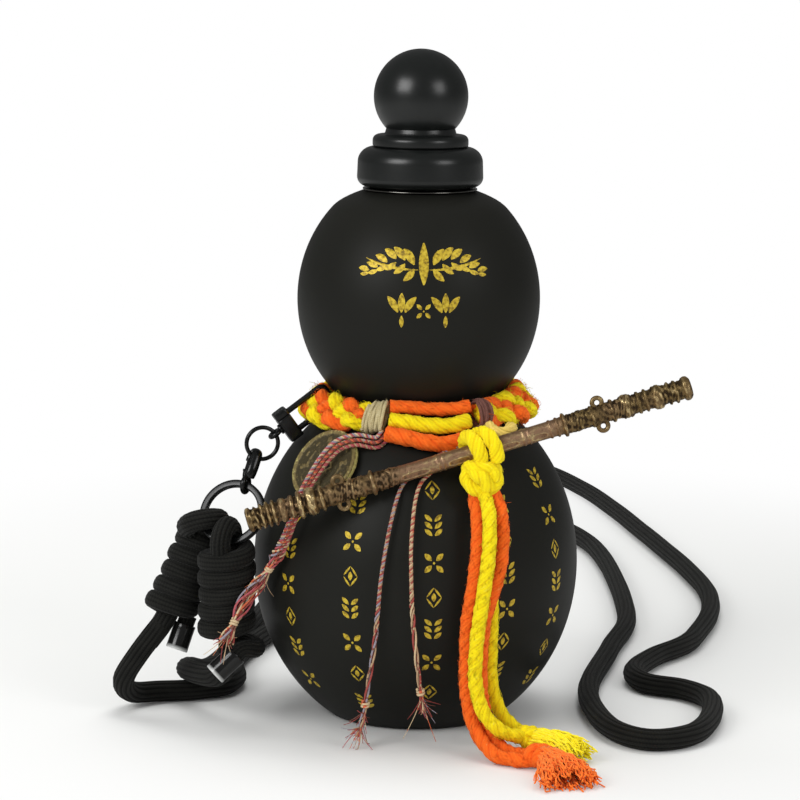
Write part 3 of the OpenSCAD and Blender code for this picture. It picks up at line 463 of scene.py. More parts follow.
# Plaited neck cord.
# Four soft cotton cords, two yellow and two orange, plaited flat round the waist. Its
# ends are bound with twine at the front, and three loose cords bridge the gap between.

def spline(points, step):
    """Points about step millimetres apart on the Catmull-Rom curve through the given ones."""
    p = np.asarray(points, float)
    p = np.concatenate([p[:1], p, p[-1:]])
    a, b, c, d = p[:-3, None], p[1:-2, None], p[2:-1, None], p[3:, None]
    t = (np.arange(40) / 40)[None, :, None]
    fine = 0.5 * (2 * b + (c - a) * t + (2 * a - 5 * b + 4 * c - d) * t ** 2 + (3 * b - a - 3 * c + d) * t ** 3)
    return even(np.concatenate([fine.reshape(-1, 3), p[-1:]]), step)


def even(path, step):
    """The same path, resampled by arc length at an even step."""
    run = np.append(0, np.cumsum(np.linalg.norm(np.diff(path, axis=0), axis=1)))
    stops = np.linspace(0, run[-1], max(3, int(round(run[-1] / step)) + 1))
    return np.stack([np.interp(stops, run, path[:, k]) for k in range(3)], 1)


def runs_of(path):
    """Arc length at each point of a path."""
    return np.append(0, np.cumsum(np.linalg.norm(np.diff(path, axis=0), axis=1)))


def unit(v):
    """Vectors of length one along the last axis."""
    v = np.asarray(v, float)
    return v / np.linalg.norm(v, axis=-1, keepdims=True)


def sides(path, first=None):
    """Heading T, side U and normal V = T x U at each point. U turns as little as possible, or
    follows the directions given for every point."""
    heading = unit(np.gradient(path, axis=0))
    if first is not None and np.ndim(first) == 2:
        side = unit(first - np.sum(first * heading, 1)[:, None] * heading)
        return heading, side, np.cross(heading, side)
    side = np.empty_like(heading)
    u = np.array([0, 0, 1.0] if abs(heading[0, 2]) < 0.8 else [1.0, 0, 0]) if first is None else np.asarray(first, float)
    for i, t in enumerate(heading):
        u = u - (u @ t) * t
        u = u / np.linalg.norm(u)
        side[i] = u
    return heading, side, np.cross(heading, side)


def sweep(path, radius, around, first=None, wide=1.0, high=1.0):
    """P(i, a) = C_i + radius(run_i, a) (wide cos a U_i + high sin a V_i)."""
    heading, side, normal = sides(path, first)
    a = np.linspace(0, 2 * np.pi, around, endpoint=False)[None, :]
    run = runs_of(path)[:, None]
    r = (radius(run, a) if callable(radius) else np.asarray(radius, float).reshape(-1, 1) + 0 * a)[..., None]
    wide, high = (np.asarray(k, float).reshape(-1, 1, 1) for k in (wide, high))
    return path[:, None] + r * (wide * np.cos(a)[..., None] * side[:, None] + high * np.sin(a)[..., None] * normal[:, None])


def furrow(wound):
    """Depth between the plies and between the yarns on them, 0 on the crowns to 1:
    0.5 (1 - |cos 3w/2|^0.75) + 0.5 (1 - |cos 9w/2|^0.8)."""
    return 1 - 0.5 * np.abs(np.cos(1.5 * wound)) ** 0.75 - 0.5 * np.abs(np.cos(4.5 * wound)) ** 0.8


def cotton_radius(diameter, lay, depth=0.2, seed=0.0):
    """r(s, a) = d/2 (1 - depth furrow(w)), w = a - 2 pi s / lay, a little uneven along s."""
    def radius(run, a):
        wound = a - 2 * np.pi * run / lay + 0.12 * np.sin(0.9 * run + seed)
        uneven = 1 + 0.04 * np.sin(run * 0.71 + seed) + 0.03 * np.sin(run * 1.63 + 2 * seed + 2 * np.sin(a))
        return diameter / 2 * uneven * (1 - depth * furrow(wound))
    return radius


def crease(path, around, lay, seed=0.0):
    """Depth in the grooves of a twisted cord, from 0 on the crowns to 1; the cotton material paints shade by it."""
    a = np.linspace(0, 2 * np.pi, around, endpoint=False)[None, :]
    run = runs_of(path)[:, None]
    return furrow(a - 2 * np.pi * run / lay + 0.12 * np.sin(0.9 * run + seed))


# Spun fibres: fine streaks that follow the twist of the cord
fibres, given, out = group("spun_fibres", [("Lay", "Float", 11.0), ("Fineness", "Float", 1.0)],
                           [("Streak", "Float"), ("Height", "Float")])
run_u, run_v, _ = add(fibres, "SeparateXYZ", {0: add(fibres, "UVMap", uv_map="run").outputs[0]}).outputs
turned_v = calc(fibres, "SUBTRACT", run_v, calc(fibres, "DIVIDE", run_u, given["Lay"]))
wound = calc(fibres, "MULTIPLY", turned_v, 2 * np.pi)
place = add(fibres, "CombineXYZ", {
    0: calc(fibres, "MULTIPLY", calc(fibres, "COSINE", wound), calc(fibres, "MULTIPLY", given["Fineness"], 3.4)),
    1: calc(fibres, "MULTIPLY", calc(fibres, "SINE", wound), calc(fibres, "MULTIPLY", given["Fineness"], 3.4)),
    2: calc(fibres, "MULTIPLY", run_u, 0.5)}).outputs[0]
hair = add(fibres, "TexNoise", {"Vector": place, "Scale": 1.0, "Detail": 4.0, "Roughness": 0.65}).outputs[0]
tuft = add(fibres, "TexNoise", {"Vector": add(fibres, "TexCoord").outputs["Object"], "Scale": 700.0, "Detail": 2.0}).outputs[0]
fibres.links.new(calc(fibres, "ADD", calc(fibres, "MULTIPLY", hair, 0.7), calc(fibres, "MULTIPLY", tuft, 0.3)), out["Streak"])
fibres.links.new(calc(fibres, "ADD", hair, calc(fibres, "MULTIPLY", tuft, 0.5)), out["Height"])


def cotton(name, deep, main, pale, lay=14.0, fineness=1.0, bump=0.9):
    """Material of soft spun cotton: the deep tone painted into the creases as shade, pale on the loose fibres."""
    made, tree, shader, relief = finish(name, bump, 0.0007, Roughness=0.92, Specular_IOR_Level=0.15, Sheen_Weight=0.32,
                                        Sheen_Roughness=0.5, Sheen_Tint=(*pale, 1))
    use = add(tree, "Group", node_tree=fibres)
    use.inputs["Lay"].default_value = lay
    use.inputs["Fineness"].default_value = fineness
    dusk = tuple(0.72 * m + 0.28 * d for m, d in zip(main, deep))
    streaks = ramp(tree, use.outputs["Streak"], [(0.32, dusk), (0.47, main), (0.58, main), (0.74, pale)])
    # Painted shade: the crease attribute mixes the deep tone into the cord's grooves; on the frays it holds a random
    # tone per strand.
    crease_shade_and_tone = add(tree, "Attribute", attribute_name="crease").outputs["Fac"]
    shade = add(tree, "Mix", {0: calc(tree, "POWER", crease_shade_and_tone, 1.15), 6: streaks, 7: (*deep, 1)}, data_type="RGBA").outputs[2]
    tree.links.new(shade, shader.inputs["Base Color"])
    tree.links.new(use.outputs["Height"], relief.inputs["Height"])
    return made


yellow_cotton = cotton("yellow_cotton", (0.8, 0.52, 0.004), (0.99, 0.81, 0.008), (1.0, 0.93, 0.13))
orange_cotton = cotton("orange_cotton", (0.86, 0.085, 0.006), (1.0, 0.165, 0.016), (1.0, 0.36, 0.1))


def fuzz(name, paths, diameter, count, length, body, material, seed, thick=0.07):
    """Loose fibres: thin bowed hairs that leave a cord at random places and lean along it."""
    dice = np.random.default_rng(seed)
    grids = []
    for path in paths:
        heading, side, normal = sides(path)
        i = dice.integers(1, len(path) - 1, count)
        a = dice.uniform(0, 2 * np.pi, count)[:, None]
        up = np.cos(a) * side[i] + np.sin(a) * normal[i]
        lean = dice.normal(0, 0.9, (count, 1)) * heading[i] + dice.normal(0, 0.5, (count, 1)) * np.cross(heading[i], up)
        t = np.linspace(0, 1, 4)[None, :, None]
        long = length * dice.uniform(0.4, 1.2, (count, 1, 1))
        hair = path[i][:, None] + up[:, None] * diameter * 0.42 + long * (t * (0.55 * up + 0.8 * lean)[:, None] - 0.35 * t ** 2 * up[:, None])
        hair[..., 2] = np.maximum(hair[..., 2], 0.15)
        grids += thin_tubes(hair, thick, 3)
    made = loft(name, grids, body, sharp=180)
    made.data.materials.append(material)
    return made


def thin_tubes(lines, radius, around):
    """Tubes round many lines (k, n, 3) at once: P = C + r (cos a U + sin a V), U square to the heading."""
    heading = unit(np.gradient(lines, axis=1))
    steady = np.where(np.abs(heading[:, :1, 2:]) < 0.8, [[[0, 0, 1.0]]], [[[1.0, 0, 0]]])
    side = unit(np.cross(np.broadcast_to(steady, heading.shape), heading))
    normal = np.cross(heading, side)
    a = np.linspace(0, 2 * np.pi, around, endpoint=False)
    n = lines.shape[1]
    taper = np.linspace(1, 0.55, n)[None, :, None, None] * np.asarray(radius, float).reshape(-1, 1, 1, 1)
    rings = lines[:, :, None] + taper * (np.cos(a)[:, None] * side[:, :, None] + np.sin(a)[:, None] * normal[:, :, None])
    return list(rings)


braid_r, tilt = 38.6, np.radians(50)


def round_waist(a):
    """Middle of the plait at angle a, its width direction and its thickness direction."""
    a = np.asarray(a, float)
    c, s = np.cos(np.radians(a)), np.sin(np.radians(a))
    lift = np.exp(-((a - 194) / 16) ** 2)
    r = braid_r + 0.8 * c + 1.6 * lift
    mid = np.stack([r * c, r * s, 118.3 + 1.2 * c + 1.4 * lift], -1)
    wide = np.stack([-np.cos(tilt) * c, -np.cos(tilt) * s, np.full_like(c, np.sin(tilt))], -1)
    deep = np.stack([np.sin(tilt) * c, np.sin(tilt) * s, np.full_like(c, np.cos(tilt))], -1)
    return mid, wide, deep


angles = np.linspace(246.2, -56.4, 620)
mid, wide, deep = round_waist(angles)
f = np.linspace(0, 1, len(angles))
pinch = (1 - 0.36 * np.exp(-((angles - 194) / 7) ** 2)) * np.minimum(1, 0.5 + 5 * np.minimum(f, 1 - f))
plait_run = runs_of(mid)
strand_d, plait_period = 5.9, 37.0
plait = {"yellow": [], "orange": []}
for k in range(4):
    phase = 2 * np.pi * plait_run / plait_period + k * np.pi / 2 + 0.6
    x = -4.55 * np.cos(phase) * pinch
    y = 1.45 * (0.207 * np.sin(phase) + 1.207 * np.sin(3 * phase)) * pinch
    plait["yellow" if k % 2 else "orange"].append(mid + x[:, None] * wide + y[:, None] * deep)
for colour, material in (("yellow", yellow_cotton), ("orange", orange_cotton)):
    paths = [even(p, 0.55) for p in plait[colour]]
    grids = []
    for n, p in enumerate(paths):
        near = round_waist(np.degrees(np.unwrap(np.arctan2(p[:, 1], p[:, 0]))) % 360)
        grids.append(sweep(p, cotton_radius(strand_d, 15.0, depth=0.2, seed=n + 3.0), 54, first=unit(near[1]), high=0.74))
    made = loft(f"plait_{colour}", grids, "flask", runs=[runs_of(p) for p in paths],
                marks={"crease": [crease(p, 54, 15.0, n + 3.0) for n, p in enumerate(paths)]}, sharp=180)
    made.data.materials.append(material)
    if colour == "yellow":
        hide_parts("neck_braid")
    fuzz(f"plait_fluff_{colour}", paths, strand_d, 2000, 2.4, "flask", material, 5 + len(colour), 0.1)

# Bindings of twine, wound round the plait's ends
twine = cotton("beige_twine", (0.3, 0.22, 0.09), (0.62, 0.53, 0.3), (0.82, 0.76, 0.55), lay=2.2, fineness=0.5, bump=0.4)
dark_twine = cotton("brown_twine", (0.06, 0.02, 0.015), (0.22, 0.095, 0.075), (0.42, 0.26, 0.2), lay=2.2, fineness=0.5, bump=0.4)
for name, place, half, turns, wide_r, deep_r, material, slot in (
        ("whipping_left", 247.0, 3.2, 6.0, 5.4, 3.5, twine, "twine"),
        ("whipping_right", -54.5, 2.2, 4.2, 5.0, 3.7, dark_twine, "twine_dark")):
    t = np.linspace(-1, 1, int(turns * 48))
    mid, wide, deep = round_waist(place + np.degrees(half / braid_r) * t)
    along = unit(np.gradient(mid, axis=0))
    paths = []
    for layer, (shift, slip, more) in enumerate(((1.0, 0.25, 0.0), (2.9, 0.9, 0.45))):
        a = 2 * np.pi * (turns - 2 * layer) * (t + 1) / 2 + shift
        wob = 1 + 0.04 * np.sin(2.7 * a + layer) + 0.03 * np.sin(0.8 * a)
        lean = slip * np.sin(a + 0.7) + 0.2 * np.sin(1.9 * a)
        paths.append(even(mid + ((wide_r + more) * wob * np.cos(a))[:, None] * wide
                          + ((deep_r + more) * wob * np.sin(a))[:, None] * deep + lean[:, None] * along, 0.28))
    made = loft(name + "_twine", [sweep(p, cotton_radius(1.3, 2.4, depth=0.3), 18) for p in paths], "flask",
                runs=[runs_of(p) for p in paths], marks={"crease": [crease(p, 18, 2.4) for p in paths]}, capped=True, sharp=180)
    made.data.materials.append(material)
    fuzz(name + "_fluff", paths, 1.3, 70, 1.8, "flask", material, 9)
    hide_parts(name)

# Loose cords across the front, between the two bindings
cotton_d = 4.8
front_cords = {
    "front_cord_upper": ("orange", [(-10.2, -35, 121.7), (-4, -34.6, 121.5), (5, -34.6, 120.9), (14, -34.2, 121.2), (18.8, -33, 122)]),
    "front_cord_middle": ("yellow", [(-10, -37.2, 117), (-3, -38.8, 116.4), (4, -39.5, 115.6), (12, -38.8, 115.6), (18.6, -35.6, 116.9)]),
    "front_cord_lower": ("orange", [(-11.2, -40.4, 112.6), (-4, -43, 111.6), (3, -44, 110.2), (10, -43.2, 109.4), (15.5, -41.2, 110.4),
                                     (21, -38.6, 110.8), (27, -35.6, 110.6)])
}
cottons = {"yellow": yellow_cotton, "orange": orange_cotton}


def cotton_cord(name, route, colour, body="flask", diameter=cotton_d, hairs=160, seed=1, lay=14.0):
    """Three-ply cotton cord along a route, with its loose fibres; returns the piece, its path and the fibres."""
    path = spline(route, 0.5)
    made = loft(name, [sweep(path, cotton_radius(diameter, lay, seed=seed), 54)], body,
                runs=[runs_of(path)], marks={"crease": [crease(path, 54, lay, seed)]}, sharp=180)
    made.data.materials.append(cottons[colour])
    hairs = fuzz(name + "_fluff", [path], diameter, hairs, 2.2, body, cottons[colour], seed, 0.1)
    return made, path, hairs


for n, (name, (colour, route)) in enumerate(front_cords.items()):
    made, path, hairs = cotton_cord(name + "_cotton", route, colour, seed=20 + n, diameter=(5.0, 6.0, 6.2)[n], lay=17.0)
    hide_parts(name)


# Hanging knot and tassels.
# A doubled yellow cord goes over the bronze rod and is tied in a ball under it. Two orange
# and two yellow cords leave the ball, hang down the front and end in knotted frays.

rod_left, rod_dir = np.array([-60.977, -57.509, 83.198]), unit([0.95398, 0.063078, 0.293162])
rod_up = unit(np.array([0, 0, 1.0]) - rod_dir[2] * rod_dir)
rod_front = np.cross(rod_up, rod_dir)
rod_front = rod_front * -np.sign(rod_front[1])
grip = rod_left + 87.5 * rod_dir
paths, turn = [], np.radians(np.linspace(-112, 128, 76))[:, None]
for offset, slant in ((-2.7, 2.0), (2.0, 3.2)):
    reach = 5.95 + 0.2 * np.sin(3 * turn)
    paths.append(grip + reach * (np.cos(turn) * rod_up + np.sin(turn) * rod_front) + (offset + slant * np.sin(turn)) * rod_dir)
paths = [even(p, 0.4) for p in paths]
rod_loop = loft("rod_loop_cords", [sweep(p, cotton_radius(5.7, 15, depth=0.18, seed=n + 7), 54) for n, p in enumerate(paths)], "flask",
                runs=[runs_of(p) for p in paths], marks={"crease": [crease(p, 54, 15, n + 7) for n, p in enumerate(paths)]}, sharp=180)
rod_loop.data.materials.append(yellow_cotton)
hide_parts("rod_loop")
fuzz("rod_loop_fluff", paths, 4.8, 110, 2.4, "flask", yellow_cotton, 41)

knot_mid = np.array([23.0, -54.6, 99.8])
lobes = [
    [(-4.6, 3.4, 2.4), (-4.4, -2.4, 3.5), (-0.6, -4.6, 3.6), (3.2, -3.4, 3.3), (4.8, 0.8, 2.4), (3.6, 4, 1)],
    [(-1.5, 1.5, 4.2), (-4.4, -1.6, 2.2), (-5, -3, -0.8), (-2.8, -4, -3.6), (0.4, -2.4, -4.4), (1.6, 1, -4.4)],
    [(1.2, -3.6, 3.9), (4, -3.7, 2), (5.1, -3, -0.9), (3.6, -3.4, -3.3), (0.8, -2.6, -4.6), (-1.5, 0.5, -4.4)],
    [(-4, -2.2, 2.9), (-1.8, -5, 1.8), (0.8, -5.7, -0.2), (2, -4.9, -2.8), (1.6, -2, -4.6)],
    [(4.8, 2.4, 2.2), (2.4, 4.9, 1.4), (-1.4, 5.1, 0.6), (-4.6, 3, -0.8), (-4.2, -0.6, -2.8)],
    [(-4.4, 2.6, 2.6), (-1.6, 4.9, 0.4), (1.6, 4.9, -1.4), (4.6, 2.2, -2.4), (4.2, -1, -3)]
]
lobe_paths = [spline(knot_mid + np.array(p), 0.4) for p in lobes]
core = turned(np.stack([5.6 * np.cos(np.radians(np.linspace(-89, 89, 20))), 4.6 * np.sin(np.radians(np.linspace(-89, 89, 20)))], 1), 32)
grids = [sweep(p, cotton_radius(5.6, 15, depth=0.18, seed=n + 2), 54) for n, p in enumerate(lobe_paths)] + [core + knot_mid]
# The core between the lobes counts as all groove, so it takes the full painted shade.
folds = [crease(p, 54, 15, n + 2) for n, p in enumerate(lobe_paths)] + [np.ones((20, 32))]
ball_knot = loft("ball_knot_cords", grids, "flask", capped=True,
                 runs=[runs_of(p) for p in lobe_paths] + [np.arange(20) * 0.5], marks={"crease": folds}, sharp=180)
ball_knot.data.materials.append(yellow_cotton)
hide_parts("ball_knot")
fuzz("ball_knot_fluff", lobe_paths, 4.8, 60, 2.6, "flask", yellow_cotton, 42)

# A folded tab of pale cotton tape looks out between the plait and the rod
tab = spline([(25.6, -42.5, 116), (27.6, -45.4, 114.6), (30.2, -45.6, 113.8), (32.6, -43.6, 114.2), (34, -40.4, 115.4)], 0.5)
tab_cord = loft("pale_tab", [sweep(tab, cotton_radius(5.0, 30, seed=3), 54)], "flask", capped=True,
                runs=[runs_of(tab)], marks={"crease": [crease(tab, 54, 30, 3)]}, sharp=180)
pale_cotton = cotton("pale_cotton", (0.5, 0.32, 0.03), (0.9, 0.66, 0.16), (0.96, 0.84, 0.42))
tab_cord.data.materials.append(pale_cotton)


def frayed(route, widths, heights, first, count, seed, radius=0.3, stretch=1.0):
    """Fray of fine strands: each keeps a place (p, q) in the bundle, C(t) + w p X + h q Z, with waves of
    its own and a drift that grows with t squared."""
    dice = np.random.default_rng(seed)
    route = np.asarray(route, float)
    knots = np.append(0, np.cumsum(np.linalg.norm(np.diff(route, axis=0), axis=1)))
    t = np.linspace(0, 1, 13)[None, :]
    end = dice.uniform(0.72, 1.0, (count, 1)) * stretch
    stops = knots[first] + t * end * (knots[-1] - knots[first])
    middle = np.stack([np.interp(stops, knots, route[:, k]) for k in range(3)], -1)
    w, h = np.interp(stops, knots, widths), np.interp(stops, knots, heights)
    ahead = unit(route[-1] - route[first])
    beside = unit(np.cross(ahead, [0, 0, 1]))
    over = np.cross(beside, ahead)
    angle, far = dice.uniform(0, 2 * np.pi, (count, 1)), np.sqrt(dice.uniform(0.3, 1, (count, 1)))
    p = far * np.cos(angle) * 0.94 + 0.05 * np.sin(stops * dice.uniform(0.4, 1.0, (count, 1)) + angle)
    q = far * np.sin(angle) * 0.9 + 0.06 * np.sin(stops * dice.uniform(0.5, 1.1, (count, 1)) + 2 * angle)
    drift = t[..., None] ** 2 * dice.normal(0, 1.0, (count, 1, 3)) * (1.3, 1.3, 0.8)
    waves = 0.45 * t * np.sin(stops * dice.uniform(0.6, 0.9, (count, 1)) + 3 * angle)
    lines = middle + (w * p + waves)[..., None] * beside + (h * q + waves[::-1])[..., None] * over + drift
    lines[..., 2] = np.maximum(lines[..., 2], 0.4)
    return lines, thin_tubes(lines, dice.uniform(0.7, 1.3, count) * radius, 5)


def tie(route, at, reach, cord, seed, turns=1.9):
    """Turns of cord round a route's point: a short helix, squeezed a little, with a crossing turn."""
    route = np.asarray(route, float)
    ahead = unit(route[at + 1] - route[at - 1])
    u = unit(np.cross(ahead, [0, 0, 1]))
    v = np.cross(u, ahead)
    a = np.linspace(0, 2 * np.pi * turns, 90)[:, None] + seed
    shape = (reach[0] * np.cos(a)) * u + (reach[1] * np.sin(a)) * v
    return even(route[at] + shape + (1.9 * np.sin(a * 0.5 + 0.6) + 0.6 * (a - a.mean()) / np.pi) * ahead, 0.4)


tassels = {
    "tassel_orange_a": ("orange", [(20.8, -56.8, 91.4), (21.6, -60.2, 87), (21.8, -64, 76), (20.4, -65.8, 62), (18.4, -66, 48), (18.2, -66, 36),
                                   (18.4, -66.4, 25), (20.2, -68.4, 14.6), (24, -72.4, 7.2), (29, -77.6, 3.2), (34.6, -81, 2.5), (39.8, -82.8, 2.5)]),
    "tassel_yellow_a": ("yellow", [(24.6, -60.2, 92.6), (25.6, -64.6, 88), (25.8, -68, 79.5), (25.2, -69.4, 70.5), (23.8, -70, 59.5), (22.2, -70.6, 48),
                                   (21.4, -71, 37), (21.6, -71.4, 27.3), (24.4, -72.4, 17.6), (30, -72.6, 11.4), (35.6, -70.4, 8.6)]),
    "tassel_orange_b": ("orange", [(28.4, -57.6, 92), (29.8, -60.2, 87.4), (30.6, -62, 79.5), (29.8, -64, 69), (27.2, -65.2, 59), (24.6, -65.2, 50),
                                   (23.6, -65.2, 40), (23.4, -65.4, 30), (24, -66.2, 21), (25.8, -67.2, 13.4), (28.8, -69.4, 6.6), (33.4, -72.4, 3.2), (41, -76.6, 2.5)]),
    "tassel_yellow_b": ("yellow", [(25, -53.4, 92), (25.8, -56, 86.4), (26.2, -58, 75), (26.6, -59.4, 63), (27.2, -59.8, 50), (27, -59.8, 37),
                                   (27.2, -60.2, 27.5), (28.8, -60.6, 19.5), (32.4, -61, 12.5), (37, -61.6, 8.4)])
}
tassel_ends = {
    "tassel_end_yellow": ("yellow", [(39.2, -65.6, 6.8), (41, -66, 6.8), (44, -66.8, 6.4), (46.4, -67.8, 6.2), (50.4, -70.4, 5.8), (55, -74.6, 4.8), (58.6, -79.6, 3.4)],
                          (4.2, 5.2, 4.4, 4.2, 6, 7.2, 7.6), (3, 4, 3.8, 3.6, 4.4, 4.2, 3.4)),
    "tassel_end_orange": ("orange", [(42.4, -80, 3.6), (44, -80.8, 4.2), (47, -83, 4.4), (49, -86.6, 4.2), (51.4, -93.6, 4.2), (53, -102, 3.8), (54, -110, 2.8)],
                          (5.6, 6.2, 5.2, 5, 7.4, 9.2, 9.8), (3.2, 4, 3.8, 3.6, 4, 3.8, 3))
}
loose = {"yellow": cotton("loose_yellow", (0.95, 0.62, 0.006), (1.0, 0.86, 0.012), (1.0, 0.94, 0.2), bump=0.2),
         "orange": cotton("loose_orange", (0.98, 0.13, 0.012), (1.0, 0.21, 0.025), (1.0, 0.4, 0.14), bump=0.2)}
for made in loose.values():
    made.node_tree.nodes["Principled BSDF"].inputs["Sheen Weight"].default_value = 1.0
for n, (name, (colour, route, widths, heights)) in enumerate(tassel_ends.items()):
    lines, grids = frayed(route, np.array(widths) * 1.15, np.array(heights) * 1.15, 2, 230, 60 + n, radius=0.46, stretch=1.08)
    shades = np.random.default_rng(n).uniform(0, 0.15, len(grids))
    made = loft(name + "_fray", grids, "flask", marks={"crease": [np.full(g.shape[:2], k) for g, k in zip(grids, shades)]}, sharp=180)
    made.data.materials.append(loose[colour])
    knots = [tie(route, 1, (widths[1] - 2.1, heights[1] - 1.9), 4.0, 0.4 + n), tie(route, 2, (widths[2] - 2.2, heights[2] - 1.9), 3.6, 2.1 + n, 1.2)]
    for path in knots:
        path[:, 2] = np.maximum(path[:, 2], 2.4)
    knot = loft(name + "_tie", [sweep(p, cotton_radius(4.6, 12, seed=n), 54) for p in knots], "flask", capped=True,
                runs=[runs_of(p) for p in knots], marks={"crease": [crease(p, 54, 12, n) for p in knots]}, sharp=180)
    knot.data.materials.append(cottons[colour])
    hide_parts(name)
inside_knot = {"tassel_orange_a": (21.6, -55.2, 96.2), "tassel_yellow_a": (23.4, -56.6, 96.4), "tassel_orange_b": (25.6, -55.6, 96.2),
               "tassel_yellow_b": (24, -54, 96.4)}
inside_end = {"orange": (43.0, -80.4, 3.8), "yellow": (40.2, -65.8, 6.9)}
for n, (name, (colour, route)) in enumerate(tassels.items()):
    route = [inside_knot[name]] + route + [inside_end[colour]]
    route = [(x, y, max(z, 2.85)) for x, y, z in route]
    made, path, hairs = cotton_cord(name + "_cotton", route, colour, hairs=1000, seed=30 + n, diameter=5.3)
    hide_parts(name)


# Bronze rod.
# A cast and aged bronze bar in the ornamental manner of old furniture mounts: beads,
# reels and gnarled relief towards the ends, a plainer middle with chased panels.

beads = np.array([
    [0, 2.4, 4.4], [3, 1.6, 4.2], [5.2, 1.6, 4.5], [7.4, 1.6, 4.7], [9.6, 1.6, 4.7], [12, 3.2, 4.4], [16, 2.2, 4.3], [19, 2.2, 5],
    [22, 4.4, 5.1], [27.2, 2, 4.7], [30, 3.6, 4], [38.4, 2.2, 4.2], [41.4, 3.6, 3.9], [46.2, 2, 4.6], [49, 1.4, 3.7], [51.2, 1.4, 3.6],
    [53.4, 1.4, 3.5], [71, 1.2, 3.2], [73, 1.2, 3.2], [103, 1.2, 3.2], [105, 1.2, 3.2], [113, 1.4, 3.4], [115.6, 1.4, 3.6], [118.2, 1.8, 4.4],
    [121.4, 6, 3.6], [128.6, 1.8, 4], [136, 2, 4.15], [139.4, 5.6, 4.3], [146, 1.6, 4.15], [148.8, 1.6, 4.2], [151.6, 4.6, 4.4],
    [157.4, 1.6, 4.15], [160, 1.6, 4.2], [163, 3.5, 4.4]
])
rod_length = 166.5
s = np.linspace(0, rod_length, 820)[:, None]
a = np.linspace(0, 2 * np.pi, 120, endpoint=False)[None, :]
ornate = 1 / (1 + np.exp(-(np.abs(s - 87) - 31) / 2.0))
radius = np.full_like(s, 3.0) + 0.5 * ornate
for start, width, top in beads:
    x = np.clip((s - start - width / 2) / (width / 2), -1.15, 1.15)
    radius = np.maximum(radius, 2.4 + (top - 2.4) * np.clip(1 - np.abs(x) ** 2.6, 0, 1) ** 0.5)
grain = (np.sin(1.3 * s + 2.4 * np.sin(2 * a)) * np.sin(3 * a + 0.5 * s) + 0.8 * np.sin(2.3 * s - 3 * a) * np.sin(0.7 * s + 5 * a)
         + 0.7 * np.sin(7 * a + 2 * np.sin(0.9 * s)) * np.sin(3.3 * s + 2 * a) + 0.5 * np.sin(4.7 * s + 6 * np.sin(a + 0.3 * s)))
carved = np.tanh(1.2 * grain) * 0.2 * ornate * (0.8 + 0.4 * np.sin(0.37 * s))
facets = 0.09 * (1 - ornate) * (np.abs(np.cos(4 * a)) - 0.6)
face = np.arctan2(0.94, -0.34)
panels = np.zeros_like(s + a)
for start, stop in ((57.5, 68), (75.2, 83.2), (92, 101.6), (106.4, 112.2)):
    along, round_it = (s - (start + stop) / 2) / ((stop - start) / 2), np.angle(np.exp(1j * (a - face))) / 0.36
    inside = np.abs(along) ** 3.5 + np.abs(round_it) ** 2.5
    panels += 0.17 * np.exp(-((inside - 1) / 0.28) ** 2) - 0.1 * (inside < 0.6)
scratch = 0.03 * np.sin(41 * a + 3 * np.sin(0.35 * s)) * (1 - ornate)
relief_rod = carved + facets + panels + scratch
r = radius + relief_rod
r[0] *= 0.9
r[-1] *= 0.9
middle = rod_left + s * rod_dir
grid = middle[:, None, :] + r[..., None] * (np.cos(a)[..., None] * rod_up + np.sin(a)[..., None] * rod_front)
high = np.clip(0.42 + 1.6 * relief_rod + 0.34 * (radius - 4.0) * ornate + 0.14 * (1 - ornate), 0, 1)
if np.dot(np.cross(rod_up, rod_front), rod_dir) < 0:
    grid, high = grid[:, ::-1], high[:, ::-1]
rod = loft("bronze_rod", [grid], "rod", capped=True, runs=[s[:, 0]], marks={"high": [high], "plain": [np.broadcast_to(1 - ornate, r.shape)]}, sharp=70)
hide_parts("rod")
t = np.linspace(0, 2 * np.pi, 36, endpoint=False)
lugs = []
for where in (35.2, 132.4):
    for sign in (-1, 1):
        centre = rod_left + where * rod_dir + sign * 4.4 * rod_up
        ring = centre + 1.75 * (np.cos(t)[:, None] * rod_dir + sign * np.sin(t)[:, None] * rod_up)
        way = unit(ring - centre)
        b = np.linspace(0, 2 * np.pi, 20, endpoint=False)
        lugs.append(ring[:, None] + 0.85 * (np.cos(b)[None, :, None] * way[:, None] + np.sin(b)[None, :, None] * (sign * rod_front)))
rod_lugs = loft("rod_lugs", lugs, "rod", looped=True, marks={"high": [np.full(g.shape[:2], 0.55) for g in lugs]})


